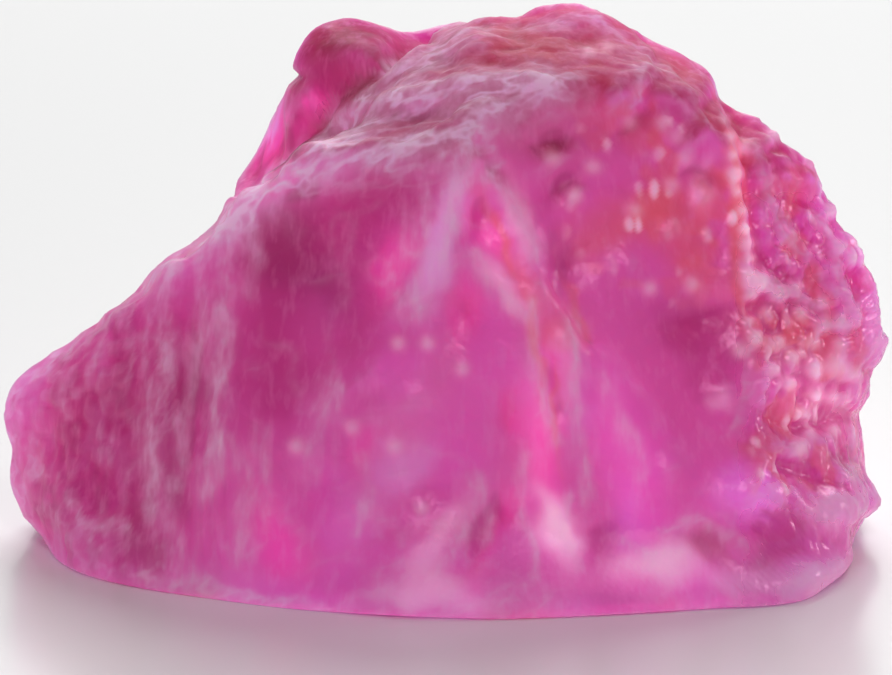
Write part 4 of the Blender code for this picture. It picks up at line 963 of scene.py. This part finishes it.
def fine_relief(p, normal, facing):
    """Height of the etching that is too fine for the solid: hillocks and pits on the flank and
    the top, growth lines on the left, small flats behind and a grain all over."""
    u, v, _ = to_plane(p)
    flank = past(u, v, FLANK_LEFT, FLANK_FOOT)
    top = smooth(*TOP_TILT, normal[:, 2]) * smooth(*TOP_FOOT, v)
    size, height, crease = FINE_FLATS
    rough = FINE_FRONT + (1.0 - FINE_FRONT) * (1.0 - facing)
    lift = height * rough * broken_flats(p, size, 31, crease)
    size, height = FINE_HILLS
    hills = hillocks(strayed(p, *FINE_HILL_STRAY, 45) * FINE_HILL_STRETCH, size, 43)
    lift += height * flank * (hills - 0.5)
    low, high = BEAD_HEIGHT
    lift += (low + (high - low) * flank) * beads_of(p, facing)
    for (size, depth), place, seed in ((RIM_PITS, top, 47), (END_PITS, smooth(*MOTTLE_LEFT, u), 49)):
        lift -= depth * place * facing * (1.0 - hillocks(p, size, seed))
    lift += FLECK_HEIGHT * flecks_of(p, facing) * ovals(p, *FLECKS, 89)
    size, shift = STRIAE_WAVY
    wavy = u + shift * swell(p * STRIAE_STRETCH, size, 51)
    size, *levels = STRIAE_FIELD
    left = smooth(*STRIAE_RIGHT, u) * facing * smooth(*levels, swell(p, size, 53))
    size, height = STRIAE
    lift += height * left * np.sin(2.0 * np.pi * wavy / size)
    size, height = FINE_GRAIN
    lift += height * swell(p, size, 57)
    return lift * smooth(*FINE_FOOT, p[:, 2])


def stone_skin():
    """The stone's surface with its fine relief, and what the material reads at each point."""
    way, quads = six_grids(GRID)
    way = way * START_AXES
    way /= np.linalg.norm(way, axis=1)[:, None]
    way += FRONT_PULL
    way /= np.linalg.norm(way, axis=1)[:, None]
    tri = np.concatenate([quads[:, :3], quads[:, [0, 2, 3]]])
    edges = grid_sides(quads)
    p = shape(way, tri, edges)
    home = p - (SHIFT[0], SHIFT[1], 0.0)
    normal = vertex_normals(home, tri)
    facing = smooth(*SKIN_FACING, normal @ -AWAY)
    fine = normal * fine_relief(home, normal, facing)[:, None]
    bulge = rounded_out(home + fine, normal, edges, BULGE_OVER)
    tint = tint_of(home, normal, facing, bulge)
    numbers = {"haze": haze_of(home, facing, bulge), "rough": rough_of(home, facing),
               "strand": facing * runs_of(home, STRANDS, STRAND_SIDES, STRAND_STRAY, 111),
               "glow": painted_glow_of(home, facing)}
    p = p + fine
    mesh = bpy.data.meshes.new("ruby_stone")
    mesh.from_pydata(p * MM, [], quads, shade_flat=False)
    colours = np.concatenate([tint, np.ones((len(p), 1))], 1).astype(np.float32)
    mesh.attributes.new("tint", "FLOAT_COLOR", "POINT").data.foreach_set("color", colours.ravel())
    for name, values in numbers.items():
        attribute = mesh.attributes.new(name, "FLOAT", "POINT")
        attribute.data.foreach_set("value", values.astype(np.float32))
    mesh.validate()
    return mesh


# --- Materials ---
NOISE_ROUGH = 0.6


class Value:
    """A shader socket on which Python's arithmetic adds Math nodes."""

    def __init__(self, nodes, socket):
        self.nodes = nodes
        self.socket = socket

    def math(self, operation, a, b):
        """The result of a sum on two numbers or sockets."""
        return self.nodes.node("ShaderNodeMath", {"operation": operation}, {0: a, 1: b})

    def __add__(self, other):
        return self.math("ADD", self, other)

    def __mul__(self, other):
        return self.math("MULTIPLY", self, other)

    __radd__ = __add__
    __rmul__ = __mul__


class Nodes:
    """An emptied shader tree whose nodes are all made by one method."""

    def __init__(self, tree):
        self.tree = tree
        self.tree.nodes.clear()

    def node(self, kind, settings=None, sockets=None, out=0):
        """Add a node: its settings first, then the values or links of its sockets."""
        made = self.tree.nodes.new(kind)
        for name, value in (settings or {}).items():
            if name == "stops":
                self.set_stops(made.color_ramp, value)
            else:
                setattr(made, name, value)
        for name, value in (sockets or {}).items():
            if isinstance(value, Value):
                self.tree.links.new(value.socket, made.inputs[name])
            else:
                made.inputs[name].default_value = value
        return Value(self, made.outputs[out]) if made.outputs else None

    @staticmethod
    def set_stops(ramp, stops):
        """Give a ramp its stops: (place, shade of grey)."""
        while len(ramp.elements) < len(stops):
            ramp.elements.new(1.0)
        for element, (place, shade) in zip(ramp.elements, stops):
            element.position = place
            element.color = (shade, shade, shade, 1.0)

    def painted(self, name):
        """A number that the mesh carries at each point."""
        return self.node("ShaderNodeAttribute", {"attribute_name": name}, out=2)

    def noise(self, grain_mm, detail, drawn_out=(1.0, 1.0, 1.0), turn=0.0):
        """Noise with grains of the given size, drawn out along x, y and z after those axes are
        turned about y, in degrees, on the object's own coordinates."""
        own = self.node("ShaderNodeTexCoord", out=3)
        place = self.node("ShaderNodeMapping", {"vector_type": "TEXTURE"}, {
            "Vector": own, "Rotation": (0.0, np.radians(turn), 0.0), "Scale": drawn_out})
        return self.node("ShaderNodeTexNoise", None, {
            "Vector": place, "Scale": 1.0 / (grain_mm * MM), "Detail": detail,
            "Roughness": NOISE_ROUGH})

    def ramp(self, value, stops):
        """A value read through stops."""
        return self.node("ShaderNodeValToRGB", {"stops": stops}, {"Fac": value})

    def blend(self, share, a, b):
        """Colour a, with b over it by a share."""
        return self.node("ShaderNodeMix", {"data_type": "RGBA"}, {0: share, 6: a, 7: b}, out=2)


def material(name):
    """A new material and its emptied shader tree."""
    made = bpy.data.materials.new(name)
    made.use_nodes = True
    return made, Nodes(made.node_tree)


BLACK = (0.0, 0.0, 0.0, 1.0)
WHITE = (1.0, 1.0, 1.0, 1.0)
HAZE_WHITE = (0.70, 0.48, 0.66, 1.0)
SILK_PINK = (0.85, 0.32, 0.64, 1.0)
SHEEN_PINK = (1.0, 0.50, 0.76, 1.0)
# Patterns in the stone: size of grain in mm, detail, how drawn out, and its turn.
CLOUDS = (0.5, 2.0)
THREADS = (0.80, 2.5, (2.2, 1.0, 1.0), -28.0)
SILK = (0.32, 2.0, (1.0, 1.0, 3.4))
THREAD_LINE = [(0.42, 0.0), (0.49, 1.0), (0.51, 1.0), (0.58, 0.0)]  # the middle of the noise
SILK_SHEEN = [(0.50, 0.0), (0.75, 0.20)]
SILK_IN_HAZE = [(0.30, 0.0), (0.70, 1.0)]
SILK_IN_STRAND = [(0.35, 0.0), (0.65, 1.0)]
HAZE_MIX = (0.48, 0.34, 0.66)  # plain haze, silk in it and threads in it
STRAND_MIX = (0.35, 0.75)  # plain strand and silk in it
BLOOM_MOST = 0.85
BLOOM_ROUGH = 0.35
# Ruby: how it bends light, what share passes straight through, how far the rest scatters in
# red, green and blue, and what its depth takes away.
RUBY_IOR = 1.77
RUBY_CLEAR = 0.35
SCATTER = (1.0, 0.30, 0.60)
SCATTER_M = 0.012
DEPTH_TINT = (0.97, 0.25, 0.82, 1.0)
DEPTH_DENSITY = 80.0
# strength of the painted glow that the stone gives off as emission
PAINTED_GLOW_STRENGTH = 0.5
GRAIN_BUMP = (0.25, 0.00015)  # share and height in metres


def ruby():
    """Glassy ruby, milky inside, with a frosted bloom on its worn edges and healed cracks.  The
    bloom is haze x (plain + silk + threads) + strand x (plain + silk); it whitens the colour
    and dulls the gloss."""
    made, n = material("ruby")
    tint = n.node("ShaderNodeAttribute", {"attribute_name": "tint"})
    threads = n.ramp(n.noise(*THREADS), THREAD_LINE)
    silk = n.noise(*SILK)
    colour = n.blend(n.ramp(silk, SILK_SHEEN), tint, SILK_PINK)
    plain, silken, threaded = HAZE_MIX
    bloom = n.painted("haze") * (plain + silken * n.ramp(silk, SILK_IN_HAZE) + threaded * threads)
    plain, silken = STRAND_MIX
    bloom = bloom + n.painted("strand") * (plain + silken * n.ramp(silk, SILK_IN_STRAND))
    bloom = n.node("ShaderNodeMath", {"operation": "MULTIPLY", "use_clamp": True},
                   {0: bloom, 1: BLOOM_MOST})
    colour = n.blend(bloom, colour, HAZE_WHITE)
    share, height = GRAIN_BUMP
    bump = n.node("ShaderNodeBump", None, {
        "Strength": share, "Distance": height, "Height": n.noise(*CLOUDS)})
    # the emission is a painted glow, read from the glow numbers on the mesh
    surface = n.node("ShaderNodeBsdfPrincipled", None, {
        "Base Color": colour, "Roughness": n.painted("rough") + BLOOM_ROUGH * bloom,
        "IOR": RUBY_IOR, "Specular Tint": SHEEN_PINK, "Transmission Weight": RUBY_CLEAR,
        "Subsurface Weight": 1.0, "Subsurface Radius": SCATTER, "Subsurface Scale": SCATTER_M,
        "Normal": bump, "Emission Color": n.blend(n.painted("glow"), BLACK, colour),
        "Emission Strength": PAINTED_GLOW_STRENGTH})
    depth = n.node("ShaderNodeVolumeAbsorption", None, {
        "Color": DEPTH_TINT, "Density": DEPTH_DENSITY})
    n.node("ShaderNodeOutputMaterial", None, {"Surface": surface, "Volume": depth})
    return made


stone = bpy.data.objects.new("ruby_stone", stone_skin())
bpy.context.scene.collection.objects.link(stone)
stone.data.materials.append(ruby())
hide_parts("ruby_crystal")
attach(stone, "root")


# --- Studio ---
scene = bpy.context.scene
scene.view_settings.view_transform = "Standard"
scene.view_settings.look = "None"
FLOOR_HALF_M = 0.6
PAPER = (0.92, 0.92, 0.92, 1.0)
PAPER_ROUGH = 0.25
SKY_WAY = (0.0, 0.9, 0.44)  # the sky brightens towards this way,
SKY_FROM = -0.35  # between these parts of it
SKY_TO = 0.75
SKY_FRONT = 0.15  # the room is dim behind the camera and bright at the back
SKY_BACK = 0.46
SKY_SEEN = 1.0  # the backdrop is plain white
# Lamps: place and aim in metres, disc's size in metres, power in watts.
LAMPS = {
    "softbox": ((0.02, 0.21, 0.19), (0, 0, 0.006), 0.24, 0.62),
    "side_card": ((0.26, 0.06, 0.075), (0.008, 0, 0.006), 0.035, 0.045),
    "front_card": ((0.035, -0.25, 0.20), (0, 0, 0.006), 0.07, 0.14),
}
SENSOR_MM = 36.0
VIEW_WIDE = 24.26  # width of what the camera sees at the stone
NEAR_CLIP_M = 0.01


def pale_floor():
    """A plain sheet of pale paper under the stone."""
    h = FLOOR_HALF_M
    mesh = bpy.data.meshes.new("floor")
    mesh.from_pydata([(-h, -h, 0), (h, -h, 0), (h, h, 0), (-h, h, 0)], [], [(0, 1, 2, 3)])
    floor = bpy.data.objects.new("floor", mesh)
    scene.collection.objects.link(floor)
    made, n = material("white_paper")
    paper = n.node("ShaderNodeBsdfPrincipled", None, {"Base Color": PAPER, "Roughness": PAPER_ROUGH})
    n.node("ShaderNodeOutputMaterial", None, {"Surface": paper})
    mesh.materials.append(made)


def studio_light():
    """A white backdrop that lights the stone softly, more from behind than from the front."""
    world = bpy.data.worlds.new("studio")
    scene.world = world
    world.use_nodes = True
    n = Nodes(world.node_tree)
    way = n.node("ShaderNodeTexCoord")
    lean = n.node("ShaderNodeVectorMath", {"operation": "DOT_PRODUCT"}, {0: way, 1: SKY_WAY}, out=1)
    sky = n.node("ShaderNodeMapRange", {"interpolation_type": "SMOOTHSTEP"}, {
        "Value": lean, "From Min": SKY_FROM, "From Max": SKY_TO, "To Min": SKY_FRONT,
        "To Max": SKY_BACK})
    seen = n.node("ShaderNodeLightPath")
    strength = n.node("ShaderNodeMix", None, {0: seen, 2: sky, 3: SKY_SEEN})
    light = n.node("ShaderNodeBackground", None, {"Color": WHITE, "Strength": strength})
    n.node("ShaderNodeOutputWorld", None, {"Surface": light})


def lamp(name, place, aim, size, power):
    """A round area lamp that faces a point."""
    data = bpy.data.lights.new(name, "AREA")
    data.shape = "DISK"
    data.size = size
    data.energy = power
    ob = bpy.data.objects.new(name, data)
    ob.location = place
    ob.rotation_euler = (Vector(aim) - Vector(place)).to_track_quat("-Z", "Y").to_euler()
    scene.collection.objects.link(ob)


def add_camera():
    """The camera stands in front, EYE_FAR from the stone, and looks down by LEAN."""
    data = bpy.data.cameras.new("camera")
    data.sensor_width = SENSOR_MM
    data.lens = SENSOR_MM * EYE_FAR / VIEW_WIDE
    data.clip_start = NEAR_CLIP_M
    camera = bpy.data.objects.new("camera", data)
    aim = Vector(AIM + np.array([0.0, SHIFT[1], 0.0])) * MM
    back = Vector(-AWAY)
    camera.location = aim + back * EYE_FAR * MM
    camera.rotation_euler = (-back).to_track_quat("-Z", "Y").to_euler()
    scene.collection.objects.link(camera)
    scene.camera = camera


pale_floor()
studio_light()
for name, values in LAMPS.items():
    lamp(name, *values)
add_camera()
